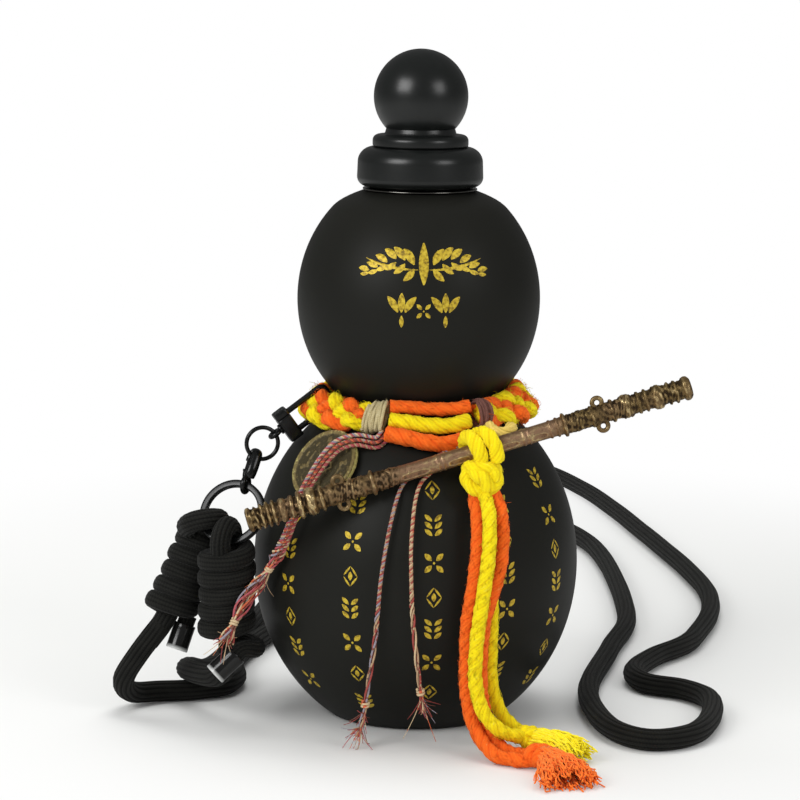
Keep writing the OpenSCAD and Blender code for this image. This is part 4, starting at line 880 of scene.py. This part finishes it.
def aged(name, deep, body_low, body_high, bright, scale, metal=0.85):
    """Material of aged bronze: dark in the hollows, rubbed bright on what stands out."""
    made, tree, shader, relief = finish(name, 0.85, 0.0003, Metallic=metal)
    spot = add(tree, "TexCoord").outputs["Object"]
    fine = add(tree, "TexNoise", {"Vector": spot, "Scale": scale, "Detail": 5.0, "Roughness": 0.7}).outputs[0]
    broad = add(tree, "TexNoise", {"Vector": spot, "Scale": 55.0, "Detail": 2.0}).outputs[0]
    lift = add(tree, "Attribute", attribute_name="high").outputs["Fac"]
    level = calc(tree, "ADD", calc(tree, "MULTIPLY", fine, 0.75), calc(tree, "MULTIPLY", lift, 0.55))
    plain = add(tree, "Attribute", attribute_name="plain").outputs["Fac"]
    share = calc(tree, "ADD", add(tree, "MapRange", {"Value": broad, "From Min": 0.35, "From Max": 0.65, "To Max": 0.6}).outputs[0], plain)
    tone = add(tree, "Mix", {0: share, 6: (*body_low, 1), 7: (*body_high, 1)}, data_type="RGBA").outputs[2]
    dark = ramp(tree, level, [(0.42, (0, 0, 0)), (0.6, (1, 1, 1))])
    rubbed = ramp(tree, level, [(0.68, (0, 0, 0)), (0.86, (1, 1, 1))])
    low = add(tree, "Mix", {0: dark, 6: (*deep, 1), 7: tone}, data_type="RGBA").outputs[2]
    tree.links.new(add(tree, "Mix", {0: rubbed, 6: low, 7: (*bright, 1)}, data_type="RGBA").outputs[2], shader.inputs["Base Color"])
    tree.links.new(add(tree, "MapRange", {"Value": level, "From Min": 0.4, "From Max": 0.9, "To Min": 0.6, "To Max": 0.26}).outputs[0],
                   shader.inputs["Roughness"])
    tree.links.new(fine, relief.inputs["Height"])
    return made


bronze = aged("aged_bronze", (0.04, 0.023, 0.009), (0.2, 0.135, 0.05), (0.32, 0.19, 0.11), (0.6, 0.45, 0.22), 420.0, 0.75)
rod.data.materials.append(bronze)
rod_lugs.data.materials.append(bronze)


# Coin and its thread.
# A plain cast token with a square hole and a raised rim, struck with bars and dots. A thin
# thread of four colours passes over it, is knotted below and hangs to the table.

coin_mid, coin_face = np.array([-33.62, -36.44, 100.03]), unit([-0.5606, -0.6076, 0.5626])
coin_x = unit(np.cross([0, 0, 1], coin_face))
coin_y = np.cross(coin_face, coin_x)
a = np.linspace(0, 2 * np.pi, 240, endpoint=False)[None, :]
spin = a - np.radians(35)
hole = 2.6 / np.maximum(np.abs(np.cos(spin)), np.abs(np.sin(spin)))
t = np.linspace(0, 1, 90)[:, None]
r = hole + t * (14.0 - hole)
raised = 0.32 / (1 + np.exp(-(r - 12.5) / 0.13)) + 0.26 / (1 + np.exp((r - hole - 0.75) / 0.1))
glyph = np.exp(-((r - 7.9) / 0.5) ** 2) * (np.abs(np.sin(2 * spin)) > 0.6) + np.exp(-((r - 10.2) / 0.45) ** 2) * (np.sin(12 * spin) > 0.3)
glyph += np.exp(-((r - 9) / 2.2) ** 4) * np.exp(-(np.sin(2 * spin + 0.8) / 0.16) ** 2)
raised = raised + 0.2 * np.clip(glyph, 0, 1) + 0.05 * np.sin(3.1 * r + 4 * np.sin(3 * a)) * np.sin(9 * a + r)
thick = 0.66 + raised
flat = coin_mid + r[..., None] * (np.cos(a)[..., None] * coin_x + np.sin(a)[..., None] * coin_y)
front, back = flat + thick[..., None] * coin_face, flat - thick[..., None] * coin_face
grid = np.concatenate([front, (flat[-1:] + 0.05 * unit(flat[-1:] - coin_mid)) , back[::-1], flat[:1]])
level = np.clip(np.concatenate([raised, np.full((1, 240), 0.6), raised[::-1], np.full((1, 240), 0.2)]) * 1.7, 0, 1)
coin = loft("old_coin", [grid[:, ::-1]], "coin", looped=True, marks={"high": [level[:, ::-1]]}, sharp=60)
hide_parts("coin")
coin.data.materials.append(aged("aged_green_brass", (0.05, 0.038, 0.012), (0.17, 0.13, 0.04), (0.24, 0.17, 0.07), (0.7, 0.64, 0.22), 800.0, 0.25))

mixed, tree, shader, relief = finish("mixed_thread", 0.4, 0.0001, Roughness=0.85, Specular_IOR_Level=0.2)
speck = add(tree, "TexNoise", {"Vector": add(tree, "TexCoord").outputs["Object"], "Scale": 520.0, "Detail": 1.0}).outputs[0]
tone = calc(tree, "FRACT", calc(tree, "ADD", add(tree, "Attribute", attribute_name="tone").outputs["Fac"], calc(tree, "MULTIPLY", speck, 0.25)))
dyes = ramp(tree, tone, [(0.0, (0.3, 0.022, 0.024)), (0.2, (0.42, 0.28, 0.16)), (0.4, (0.16, 0.04, 0.028)), (0.55, (0.26, 0.24, 0.3)),
                         (0.68, (0.58, 0.1, 0.03)), (0.8, (0.58, 0.44, 0.26)), (0.92, (0.42, 0.06, 0.09))], "CONSTANT")
wear = add(tree, "TexNoise", {"Vector": add(tree, "TexCoord").outputs["Object"], "Scale": 1400.0, "Detail": 2.0}).outputs[0]
faded = add(tree, "Mix", {0: calc(tree, "MULTIPLY", wear, 0.22), 6: dyes, 7: (0.55, 0.42, 0.32, 1)}, data_type="RGBA").outputs[2]
tree.links.new(faded, shader.inputs["Base Color"])
tree.links.new(wear, relief.inputs["Height"])


def thread(name, route, pairs, tones, replaced, loose=0.0, lay=2.3, knots=(), fray=()):
    """Thread of thin cords, each of three strands: strand = C + offset U + q (cos w U + sin w V), with
    w = 2 pi s / lay + 2 pi k / 3. The strands draw apart past the middle and close at the knots."""
    path = spline(route, 0.35)
    heading, side, normal = sides(path)
    run = runs_of(path)
    end = run[-1]
    strand = 0.36 if pairs == 1 else 0.38
    narrow = np.ones_like(run)
    for at in knots:
        narrow = narrow * (1 - 0.85 * np.exp(-((run - at * end) / 4.0) ** 2))
    opened = 1 / (1 + np.exp(-(run - 0.6 * end) / 3.0)) * loose
    grids, marks, runs_used = [], [], []
    for p in range(pairs):
        away = (p - (pairs - 1) / 2) * 1.5 * (1 + 0.3 * np.sin(run * 0.07 + 1)) * narrow
        for k in range(3):
            wind = np.append(0, np.cumsum(np.diff(run) * (1 - 0.9 * opened[1:] / loose))) * 2 * np.pi / lay + k * 2.09 + p
            q = strand * (1.12 + 3.0 * opened * narrow * (0.6 + 0.4 * np.sin(run * 0.2 + 2 * k)))
            line = path + away[:, None] * side + q[:, None] * (np.cos(wind)[:, None] * side + np.sin(wind)[:, None] * normal)
            line[:, 2] = np.maximum(line[:, 2], 0.5)
            grids.append(sweep(line, strand, 8))
            marks.append(np.full((len(line), 8), tones[(3 * p + k) % len(tones)]))
            runs_used.append(runs_of(line))
    for at in knots:
        i = int(at * (len(path) - 1))
        turn = np.linspace(0, 5 * np.pi, 60)[:, None]
        bow = path[i] + 1.15 * (np.cos(turn) * side[i] + np.sin(turn) * normal[i]) + 0.5 * (turn / np.pi - 2.5) * heading[i]
        grids.append(sweep(bow, 0.5, 8))
        marks.append(np.full((60, 8), 0.7))
        runs_used.append(runs_of(bow))
    made = loft(name, grids, "flask", runs=runs_used, marks={"tone": marks}, sharp=180)
    made.data.materials.append(mixed)
    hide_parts(replaced)
    dice = np.random.default_rng(len(name))
    grids, marks = [], []
    for at, count, long in fray:
        i = int(at * (len(path) - 1))
        aim = unit(path[min(i + 3, len(path) - 1)] - path[i - 3]) * 0.8 + dice.normal(0, 0.32 if at > 0.9 else 0.16, (count, 3))
        u = np.linspace(0, 1, 10)[None, :, None]
        lines = path[i] + long * dice.uniform(0.5, 1.0, (count, 1, 1)) * (u * aim[:, None] + u ** 2 * dice.normal(0, 0.3, (count, 1, 3)))
        lines[..., 2] = np.maximum(lines[..., 2], 0.3)
        grids += thin_tubes(lines, 0.19, 6)
        marks += [np.full((10, 6), tone) for tone in dice.uniform(0, 1, count)]
    ends = loft(name + "_fray", grids, "flask", marks={"tone": marks}, sharp=180)
    ends.data.materials.append(mixed)
    return made


thread("coin_thread_strands", [(-11.6, -39.6, 112.4), (-15, -41, 109.4), (-22, -41.6, 110.4), (-28.6, -41.4, 108.4), (-33.6, -42, 103.4), (-38, -43.4, 96.8),
                               (-42, -44.4, 89.4), (-45, -44.8, 81), (-48, -43, 73), (-52, -39, 64.6), (-57, -36.4, 56.4),
                               (-62.6, -38.4, 49.4), (-66.2, -42.4, 42.4), (-69.4, -43.6, 35.4)], 3, (0.05, 0.25, 0.85, 0.0, 0.3, 0.6, 0.45, 0.7, 0.85), "coin_thread",
       loose=0.9, knots=(0.7, 0.93), fray=((0.7, 6, 5), (0.72, 12, 11), (0.8, 8, 8), (0.97, 26, 8)))
thread("thread_a_strands", [(15, -43.6, 108.8), (9, -45.2, 106.4), (5, -47.3, 104.2), (0, -49.1, 101.2), (-3.4, -50.6, 98), (-6, -53, 94.6), (-8.2, -57, 88.2),
                            (-10.6, -60.4, 77), (-12.6, -62.4, 64), (-13.8, -62.4, 50), (-15.2, -60.8, 36), (-17, -59, 23), (-18.4, -58, 12.6),
                            (-20.4, -59, 4.4)], 1, (0.05, 0.25, 0.45), "thread_a", loose=0.3, knots=(0.9,), fray=((0.92, 16, 10), (0.97, 26, 10)))
thread("thread_b_strands", [(19, -43.4, 107.4), (13.6, -44.6, 104.4), (9.6, -46.9, 103), (5.4, -49.2, 100.4), (1.4, -52, 96.8), (-0.6, -55.8, 91.2),
                            (-1.6, -59.8, 82.6), (-2, -62.4, 73), (-1.6, -63.8, 58), (-0.9, -63.2, 46), (0.6, -61.6, 32.6), (2.2, -60, 20.6),
                            (3.2, -59.4, 14)], 1, (0.05, 0.25, 0.7), "thread_b", loose=0.3, knots=(0.93,), fray=((0.95, 18, 10), (0.98, 12, 8)))


# Black fittings.
# A wire loop behind the plait holds a swivel block with an eye, a small ring, a lobster
# clasp and a split ring. All are cast or bent metal with a glossy black finish.

metal_black = coated("glossy_black_metal", (0.003, 0.0034, 0.0034), (0.005, 0.0055, 0.0055), 0.17, 0.32, grain=700.0, bump=0.06,
                     depth=0.00003, Specular_IOR_Level=0.38, Coat_Weight=0.1, Coat_Roughness=0.1)
post, loop_side = unit([-0.785225, -0.198791, -0.586434]), unit([-0.2438, 0.9698, -0.0023])
loop_side = unit(loop_side - (loop_side @ post) * post)
loop_across = np.cross(loop_side, post)
block = np.array([-48.612, -12.160, 110.795])


def placed(points, origin, x, y, z):
    """Local points (px, py, pz) in a frame: origin + px X + py Y + pz Z."""
    points = np.asarray(points, float)
    return origin + points[..., :1] * x + points[..., 1:2] * y + points[..., 2:] * z


def boxed(length, width, height, soft=0.45, groove=None):
    """Bar along X with rounded edges: superellipse sections, drawn in near both ends."""
    x = np.concatenate([[-1, -0.97, -0.9, -0.8], np.linspace(-0.78, 0.78, 50), [0.8, 0.9, 0.97, 1]]) * length / 2
    end = np.clip((length / 2 - np.abs(x)) / soft, 0, 1)
    scale = 1 - soft / max(width, height) * 2 * (1 - np.sqrt(1 - (1 - end) ** 2))
    if groove is not None:
        scale = scale * (1 - 0.1 * np.exp(-((x - groove) / 0.22) ** 2))
    a = np.linspace(0, 2 * np.pi, 64, endpoint=False)
    c, s = np.cos(a), np.sin(a)
    square = (np.abs(c) ** 7 + np.abs(s) ** 7) ** (-1 / 7)
    return np.stack([np.repeat(x[:, None], 64, 1), scale[:, None] * width / 2 * square * c, scale[:, None] * height / 2 * square * s], -1)


def ring_grid(mid, face, major, minor, around=72, flat=1.0):
    """Torus: P(i, j) = M + (R + r cos b) (cos a U + sin a V) + flat r sin b W."""
    u = unit(np.cross(face, [0.3, 0.2, 0.9]))
    v = np.cross(face, u)
    a, b = np.linspace(0, 2 * np.pi, around, endpoint=False)[:, None, None], np.linspace(0, 2 * np.pi, 20, endpoint=False)[None, :, None]
    return mid + (major + minor * np.cos(b)) * (np.cos(a) * u + np.sin(a) * v) - flat * minor * np.sin(b) * face


back = -post
bend = [(-3.9, 0, 1.5), (-3.9, 0, 8), (-3.9, 0, 14), (-3.9, 0, 17.2), (-3.75, 0, 18.4), (-3.1, 0, 19.2), (-2, 0, 19.5),
        (2, 0, 19.5), (3.1, 0, 19.2), (3.75, 0, 18.4), (3.9, 0, 17.2), (3.9, 0, 14), (3.9, 0, 8), (3.9, 0, 1.5)]
wire = spline(placed(bend, block, loop_across, loop_side, back), 0.4)
upper = np.sign(loop_across[2])
block_box = placed(boxed(12.2, 6.6, 5.6, groove=upper * 3.4), block + 0.45 * back, loop_across, loop_side, back)
strap_loop = loft("strap_loop_wire", [sweep(wire, 1.1, 24), block_box], "flask", capped=True, sharp=50)
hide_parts("strap_loop")
eye_mid = np.array([-52.852, -13.234, 107.628])
stem_r = np.array([0.05, 1.2, 1.2, 1.9, 2.0, 1.9, 1.2])
stem_z = np.array([-2.9, -2.85, 2.3, 2.4, 2.7, 3.1, 3.4])
b = np.linspace(0, 2 * np.pi, 40, endpoint=False)
stem = block + post * stem_z[:, None, None] + stem_r[:, None, None] * (np.cos(b)[None, :, None] * loop_across + np.sin(b)[None, :, None] * np.cross(post, loop_across))
swivel_eye = loft("swivel_eye_ring", [ring_grid(eye_mid, loop_across, 1.95, 0.92)], "eye", looped=True)
swivel_stem = loft("swivel_stem", [stem], "eye", capped=True, sharp=40)
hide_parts("swivel_eye")
small_ring = loft("small_ring_wire", [ring_grid(np.array([-57.524, -14.416, 104.139]), loop_side, 5.95, 0.8, 120)], "ring",
                  looped=True)
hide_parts("small_ring")
ring_side, ring_drop = unit([0.94, -0.342, 0]), unit([-0.171, -0.47, -0.866])
ring_face = np.cross(ring_side, ring_drop)
ring_mid, ring_r = np.array([-67.888, -25.187, 79.865]), 11.4
clasp_dir, clasp_wide = np.array([-0.260231, -0.500444, -0.825733]), np.array([-0.424775, 0.827331, -0.367545])
clasp_face = np.array([-0.867091, -0.255104, 0.427873])
hook = np.array([-60.399, -15.151, 98.981])
held = unit(-np.sin(np.radians(166)) * ring_drop + np.cos(np.radians(166)) * ring_side)
held = unit(held - (held @ clasp_dir) * clasp_dir)
drop_eye = loft("clasp_eye_ring", [ring_grid(hook + 11.3 * clasp_dir, held, 2.75, 0.98)], "lower_eye", looped=True)
neck = placed(np.stack([np.cos(b)[None, :] * np.array([0.05, 0.9, 0.9, 1.15])[:, None],
                        np.sin(b)[None, :] * np.array([0.05, 0.9, 0.9, 1.15])[:, None],
                        np.repeat(np.array([5.85, 5.9, 7.9, 8.6])[:, None], 40, 1)], -1), hook, clasp_wide, clasp_face, clasp_dir)
drop_stem = loft("clasp_eye_stem", [neck], "lower_eye", capped=True)
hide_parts("clasp_eye")
turn = np.radians(np.linspace(8, 8 + 716, 300))
spread = np.interp(np.degrees(turn), [0, 330, 394, 800], [-0.62, -0.62, 0.62, 0.62])
b = np.linspace(0, 2 * np.pi, 24, endpoint=False)
flat = (np.abs(np.cos(b)) ** 4 + np.abs(np.sin(b)) ** 4) ** (-1 / 4)
way = np.cos(turn)[:, None] * ring_drop + np.sin(turn)[:, None] * ring_side
grid = (ring_mid + (ring_r + 1.3 * (flat * np.cos(b))[None, :, None]) * way[:, None]
        + (spread[:, None] + 0.59 * (flat * np.sin(b))[None, :])[..., None] * ring_face)
if np.dot(np.cross(np.gradient(grid[:, 0], axis=0)[9], grid[9, 0] - ring_mid), grid[9, 6] - grid[9, 18]) > 0:
    grid = grid[:, ::-1]
split_ring = loft("split_ring_coil", [grid], "key_ring", capped=True, sharp=60)
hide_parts("split_ring")
for part in (strap_loop, swivel_eye, swivel_stem, small_ring, drop_eye, drop_stem, split_ring):
    part.data.materials.append(metal_black)
turn = np.radians(np.linspace(0, 180, 13))
body_line = ([(2.6, 0, 1.3)] + [(2.6 * np.cos(t), 0, 0.8 - 2.9 * np.sin(t)) for t in turn] + [(-2.65, 0, 2.6), (-2.6, 0, 4.6), (-2.3, 0, 6.3),
             (-1.7, 0, 7.6), (-1.2, 0, 8.2)])
foot_line = [(2.5, 0, 5.6), (2.3, 0, 6.5), (1.7, 0, 7.6), (1.2, 0, 8.2)]
body_path = spline(placed(body_line, hook, clasp_wide, clasp_face, clasp_dir), 0.25)
foot_path = spline(placed(foot_line, hook, clasp_wide, clasp_face, clasp_dir), 0.25)
collar_z = np.array([5.6, 5.7, 6.4, 7.7, 8.3, 8.4])
collar_r = np.array([1.3, 1.7, 2.1, 2.0, 1.5, 1.15])
collar_grid = placed(np.stack([np.cos(b)[None, :] * collar_r[:, None] * 1.05, np.sin(b)[None, :] * collar_r[:, None] * 0.85,
                               np.repeat(collar_z[:, None], len(b), 1)], -1), hook, clasp_wide, clasp_face, clasp_dir)
clasp = loft("clasp_hook", [sweep(body_path, 1.3, 24, first=clasp_face, wide=1.55), sweep(foot_path, 1.15, 24, first=clasp_face, wide=1.5)],
             "flask", capped=True, sharp=50)
clasp_neck = loft("clasp_collar", [collar_grid], "flask", looped=True, sharp=40)
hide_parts("clasp_body")
gate_path = spline(placed([(2.6, 0, 1.55), (2.6, 0, 3.0), (2.6, 0, 4.4), (2.55, 0, 5.35)], hook, clasp_wide, clasp_face, clasp_dir), 0.25)
gate = loft("clasp_gate_bar", [sweep(gate_path, 0.95, 24, first=clasp_face, wide=1.5)], "gate", capped=True, sharp=50)
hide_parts("clasp_gate")
for part in (clasp, clasp_neck, gate):
    part.data.materials.append(metal_black)
dress("gate_pin", drawn_steel)


# Shoulder strap.
# One length of soft round cord with ribs along it, woven in near-black polyester. It lies
# in loops on the table, and each end is wound back on itself into a noose.

strap_d, strap_ribs = 8.0, 14


def ribbed(run, a):
    """Radius of the ribbed cord: round, with a shallow groove between its ribs."""
    return strap_d / 2 * (1.02 - 0.085 * (1 - np.abs(np.cos(strap_ribs / 2 * a)) ** 0.7)) + 0.05 * np.sin(run / 9 + 2 * np.cos(a))


strap_route = [
    (-68.88, -26.32, 31.2), (-69.78, -24.92, 22.9), (-73.48, -19.52, 16.7), (-79.48, -10.52, 14.5), (-86.4, 3, 13),
    (-87, 18, 10.4), (-82, 36, 5.2), (-76, 62, 4.15), (-66, 130, 4.15), (-48, 270, 4.15),
    (-38, 400, 4.15), (-18, 468, 4.15), (22, 508, 4.15), (64, 500, 4.15), (90, 440, 4.15),
    (112, 330, 4.15), (131, 190, 4.15), (117, 104, 4.15), (97, 68, 4.15), (87, 43, 4.15),
    (91, 25, 4.15), (105, 16, 4.15), (113, 0, 4.15), (110, -28, 4.15), (101, -50, 4.15),
    (86, -58, 4.15), (74, -46, 4.15), (68, -18, 4.15), (68, 20, 4.15), (80, 80, 4.15), (92, 150, 4.15),
    (86, 290, 4.15), (56, 352, 4.15), (16, 310, 4.15), (-64, 90, 4.15), (-70, 24, 4.15),
    (-82, 9, 4.15), (-98, 4.6, 4.15), (-107.4, -4, 6), (-109.48, -13.12, 13.3), (-103.08, -18.32, 24.7),
    (-94.88, -17.12, 35.5)
]
strap_path = spline(strap_route, 2.6)
strap = loft("shoulder_strap", [sweep(strap_path, ribbed, 56)], "flask", runs=[runs_of(strap_path)], sharp=80)
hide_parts("strap")

# Woven rib: lines along the cord with a fine stitch across them. Lit is painted shade: darker in the grooves between
# the ribs and stitches, lighter on their crowns, under a random dust tone.
weave, given, out = group("rib_weave", [("Ribs", "Float", 14.0), ("Stitch", "Float", 0.9)],
                          [("Lit", "Float"), ("Height", "Float")])
run_u, run_v, _ = add(weave, "SeparateXYZ", {0: add(weave, "UVMap", uv_map="run").outputs[0]}).outputs
lines = calc(weave, "ABSOLUTE", calc(weave, "COSINE", calc(weave, "MULTIPLY", calc(weave, "MULTIPLY", run_v, given["Ribs"]), np.pi)))
row = calc(weave, "FLOOR", calc(weave, "MULTIPLY", run_v, given["Ribs"]))
stitch = calc(weave, "ABSOLUTE", calc(weave, "SINE", calc(weave, "ADD", calc(weave, "DIVIDE", calc(weave, "MULTIPLY", run_u, np.pi), given["Stitch"]),
                                                            calc(weave, "MULTIPLY", row, 1.9))))
knit = calc(weave, "MULTIPLY", calc(weave, "POWER", lines, 0.6), calc(weave, "ADD", calc(weave, "MULTIPLY", stitch, 0.45), 0.55))
weave.links.new(knit, out["Height"])
dust = add(weave, "TexNoise", {"Vector": add(weave, "TexCoord").outputs["Object"], "Scale": 160.0, "Detail": 3.0}).outputs[0]
weave.links.new(calc(weave, "MULTIPLY", knit, calc(weave, "ADD", dust, 0.4)), out["Lit"])


def woven(name, dark, light, ribs, stitch=0.9):
    """Material of the black ribbed cord with a given number of ribs round it."""
    made, tree, shader, relief = finish(name, 0.9, 0.0003, Roughness=0.8, Specular_IOR_Level=0.2)
    use = add(tree, "Group", node_tree=weave)
    use.inputs["Ribs"].default_value = ribs
    use.inputs["Stitch"].default_value = stitch
    # Painted shade: the base colour goes from the dark tone in the rib and stitch grooves to the light tone on their
    # crowns.
    tree.links.new(ramp(tree, use.outputs["Lit"], [(0.1, dark), (0.75, light)]), shader.inputs["Base Color"])
    tree.links.new(use.outputs["Height"], relief.inputs["Height"])
    shader.inputs["Sheen Weight"].default_value = 0.06
    shader.inputs["Sheen Roughness"].default_value = 0.4
    return made


strap_black = woven("ribbed_black_cord", (0.0012, 0.0012, 0.001), (0.0105, 0.0105, 0.0085), 14.0)
strap.data.materials.append(strap_black)


# Nooses.
# Each strap end goes over the split ring, comes down, and is wound round the standing
# cord in a stack of turns. Its short tail ends in a plastic sleeve crimped on the cord.

def winding(top, axis, core, turns=4.9, pitch=6.5, cord=6.4, start=-138):
    """Helix round an axis: P(a) = top + (pitch a / 360 - 0.5) axis + (core + cord / 2)(cos a U + sin a V)."""
    u = unit(np.array([0, -1.0, 0]) - (np.array([0, -1.0, 0]) @ axis) * axis)
    v = np.cross(axis, u)
    a = np.radians(start) + np.linspace(0, 2 * np.pi * turns, int(60 * turns))[:, None]
    wobble = 0.25 * np.sin(2.3 * a + core)
    return (top + (-0.5 + pitch * (a - a[0]) / (2 * np.pi)) * axis
            + (core + cord / 2 + 0.55 + wobble) * (np.cos(a) * u + np.sin(a) * v))


def wrap_surface(path, axis, thick, tall):
    """Flattened cord of a winding: P(i, a) = C_i + thick/2 cos a N_i + tall/2 sin a B_i, squared a little."""
    heading = unit(np.gradient(path, axis=0))
    outward = unit(np.cross(heading, axis))
    across = np.cross(heading, outward)
    a = np.linspace(0, 2 * np.pi, 48, endpoint=False)[None, :]
    c, s = np.cos(a), np.sin(a)
    square = (np.abs(c) ** 2.5 + np.abs(s) ** 2.5) ** (-1 / 2.5)
    groove = (1 - 0.05 * (1 - np.abs(np.cos(8 * a)) ** 0.7)) * square
    return path[:, None] + (thick / 2 * groove * c)[..., None] * outward[:, None] + (tall / 2 * groove * s)[..., None] * across[:, None]


nooses = {
    "a": dict(axis=unit([0, 0.110432, -0.993884]), top=np.array([-69.837, -30.147, 66.416]), core=3.5),
    "b": dict(axis=unit([-0.419832, -0.119952, -0.89964]), top=np.array([-78.868, -12.506, 68.5]), core=2.9)
}
strap_ends = []


def over_ring(at, leg, across, reach=5.7):
    """Cord over the ring at a point: half circle of radius reach, in the plane of the legs."""
    across = unit(across - (across @ leg) * leg)
    through = np.cross(across, leg)
    a = np.radians(np.linspace(180, 0, 15))[:, None]
    return at + reach * (np.cos(a) * through - np.sin(a) * leg), through


for side, facts in nooses.items():
    path = winding(facts["top"], facts["axis"], facts["core"])
    turns = loft(f"noose_turns_{side}", [wrap_surface(path, facts["axis"], 7.0, 7.15)], "flask",
                 runs=[runs_of(path)], capped=True, sharp=80)
    turns.data.materials.append(strap_black)
    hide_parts(f"noose_wraps_{side}")
    strap_ends.append(turns)
    axis, top = facts["axis"], facts["top"]
    if side == "a":
        arc, through = over_ring(np.array([-69.837, -30.545, 69.994]), axis, ring_side)
        bight = np.concatenate([[top + 6 * axis - 3.3 * through, top + 1.5 * axis - 4.9 * through], arc,
                                [top + 1.5 * axis + 4.9 * through, top + 6 * axis + 3.3 * through]])
    else:
        leg = unit([-0.22, 0.9, -0.4])
        arc, through = over_ring(np.array([-78.468, -23.806, 75.850]), leg, 0.914 * ring_drop + 0.407 * ring_side)
        bight = np.concatenate([[top + 5 * axis - 2.2 * through, top - 1.5 * axis - 4.2 * through, arc[0] + 5 * leg], arc,
                                [arc[-1] + 5 * leg, top - 1.5 * axis + 4.2 * through, top + 5 * axis + 2.2 * through]])
    path = spline(bight, 0.8)
    ends = np.array(strap_route[:2] if side == "a" else strap_route[:-3:-1])
    standing = spline([top - 1.5 * axis, top + 12 * axis, top + 24 * axis, top + 29 * axis, ends[0], ends[0] + 0.6 * (ends[1] - ends[0])], 1.0)
    core = loft(f"noose_loop_{side}_cord", [sweep(path, lambda run, a: ribbed(run, a) * 0.95, 48), sweep(standing, lambda run, a: ribbed(run, a) * np.interp(run, [0, 24, 31], [facts["core"] / 4, facts["core"] / 4, 0.985]), 48)],
                "flask", capped=True, runs=[runs_of(path), runs_of(standing)], sharp=80)
    core.data.materials.append(strap_black)
    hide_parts(f"noose_loop_{side}")
    strap_ends.append(core)

# Short tails and their crimped sleeves
aglet_black = coated("aglet_plastic", (0.005, 0.005, 0.005), (0.011, 0.011, 0.0105), 0.1, 0.22, grain=800.0, bump=0.1)
tree = aglet_black.node_tree
shader = tree.nodes["Principled BSDF"]
from_colour = shader.inputs["Base Color"].links[0].from_socket
# The last millimetre of each sleeve is painted light grey: the clear plastic end, and a painted highlight standing in
# for its glints.
clear_end_and_glint = add(tree, "Attribute", attribute_name="tip").outputs["Fac"]
tree.links.new(add(tree, "Mix", {0: clear_end_and_glint, 6: from_colour, 7: (0.62, 0.63, 0.62, 1)}, data_type="RGBA").outputs[2], shader.inputs["Base Color"])
tails = {
    "a": ([(-64.98, -18.72, 29.5), (-61.68, -20.02, 29.5), (-59.28, -23.52, 29.3), (-58.88, -27.72, 29.1), (-60.48, -31.52, 29.7),
           (-62.48, -33.32, 30.5), (-64.18, -34.02, 30.2), (-65.68, -34.42, 28.8)], (-65.88, -34.52, 28.6), (-7.6, -2, -7), 11),
    "b": ([(-85.08, -12.82, 37.9), (-85.58, -13.22, 36.6), (-86.08, -13.62, 35.3)], (-86.28, -13.82, 34.9), (-2.6, -2, -7.8), 10)
}
for side, (route, start, way, long) in tails.items():
    way = unit(way)
    path = spline(list(route) + [tuple(np.array(start) + 2.5 * way)], 0.8)
    tail = loft(f"tail_{side}_cord", [sweep(path, lambda run, a: ribbed(run, a) * 0.8, 48)], "flask", capped=True,
                runs=[runs_of(path)], sharp=80)
    tail.data.materials.append(strap_black)
    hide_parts(f"tail_{side}")
    u = unit(np.cross(way, [0.2, 0.9, 0.3]))
    a = np.linspace(0, 2 * np.pi, 64, endpoint=False)[None, :, None]
    r, z = np.array([[3.3, 0.02], [3.9, 0], [4.1, 0.1], [4.2, 0.35], [4.12, 1.6], [4.12, long - 1.6], [4.2, long - 0.35], [4.1, long - 0.08],
                     [3.9, long], [3.45, long], [3.4, long - 0.9], [0.05, long - 1.0]]).T[:, :, None, None]
    shell = np.array(start) + z * way + r * (np.cos(a) * u + np.sin(a) * np.cross(way, u))
    tip = np.repeat(np.clip((z[:, 0, 0] - long + 1.2) / 0.6, 0, 1)[:, None], 64, 1) * 0.9
    sleeve = loft(f"aglet_{side}_sleeve", [shell], "flask", marks={"tip": [tip]}, sharp=40)
    sleeve.data.materials.append(aglet_black)
    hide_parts(f"aglet_{side}")
    strap_ends += [tail, sleeve]
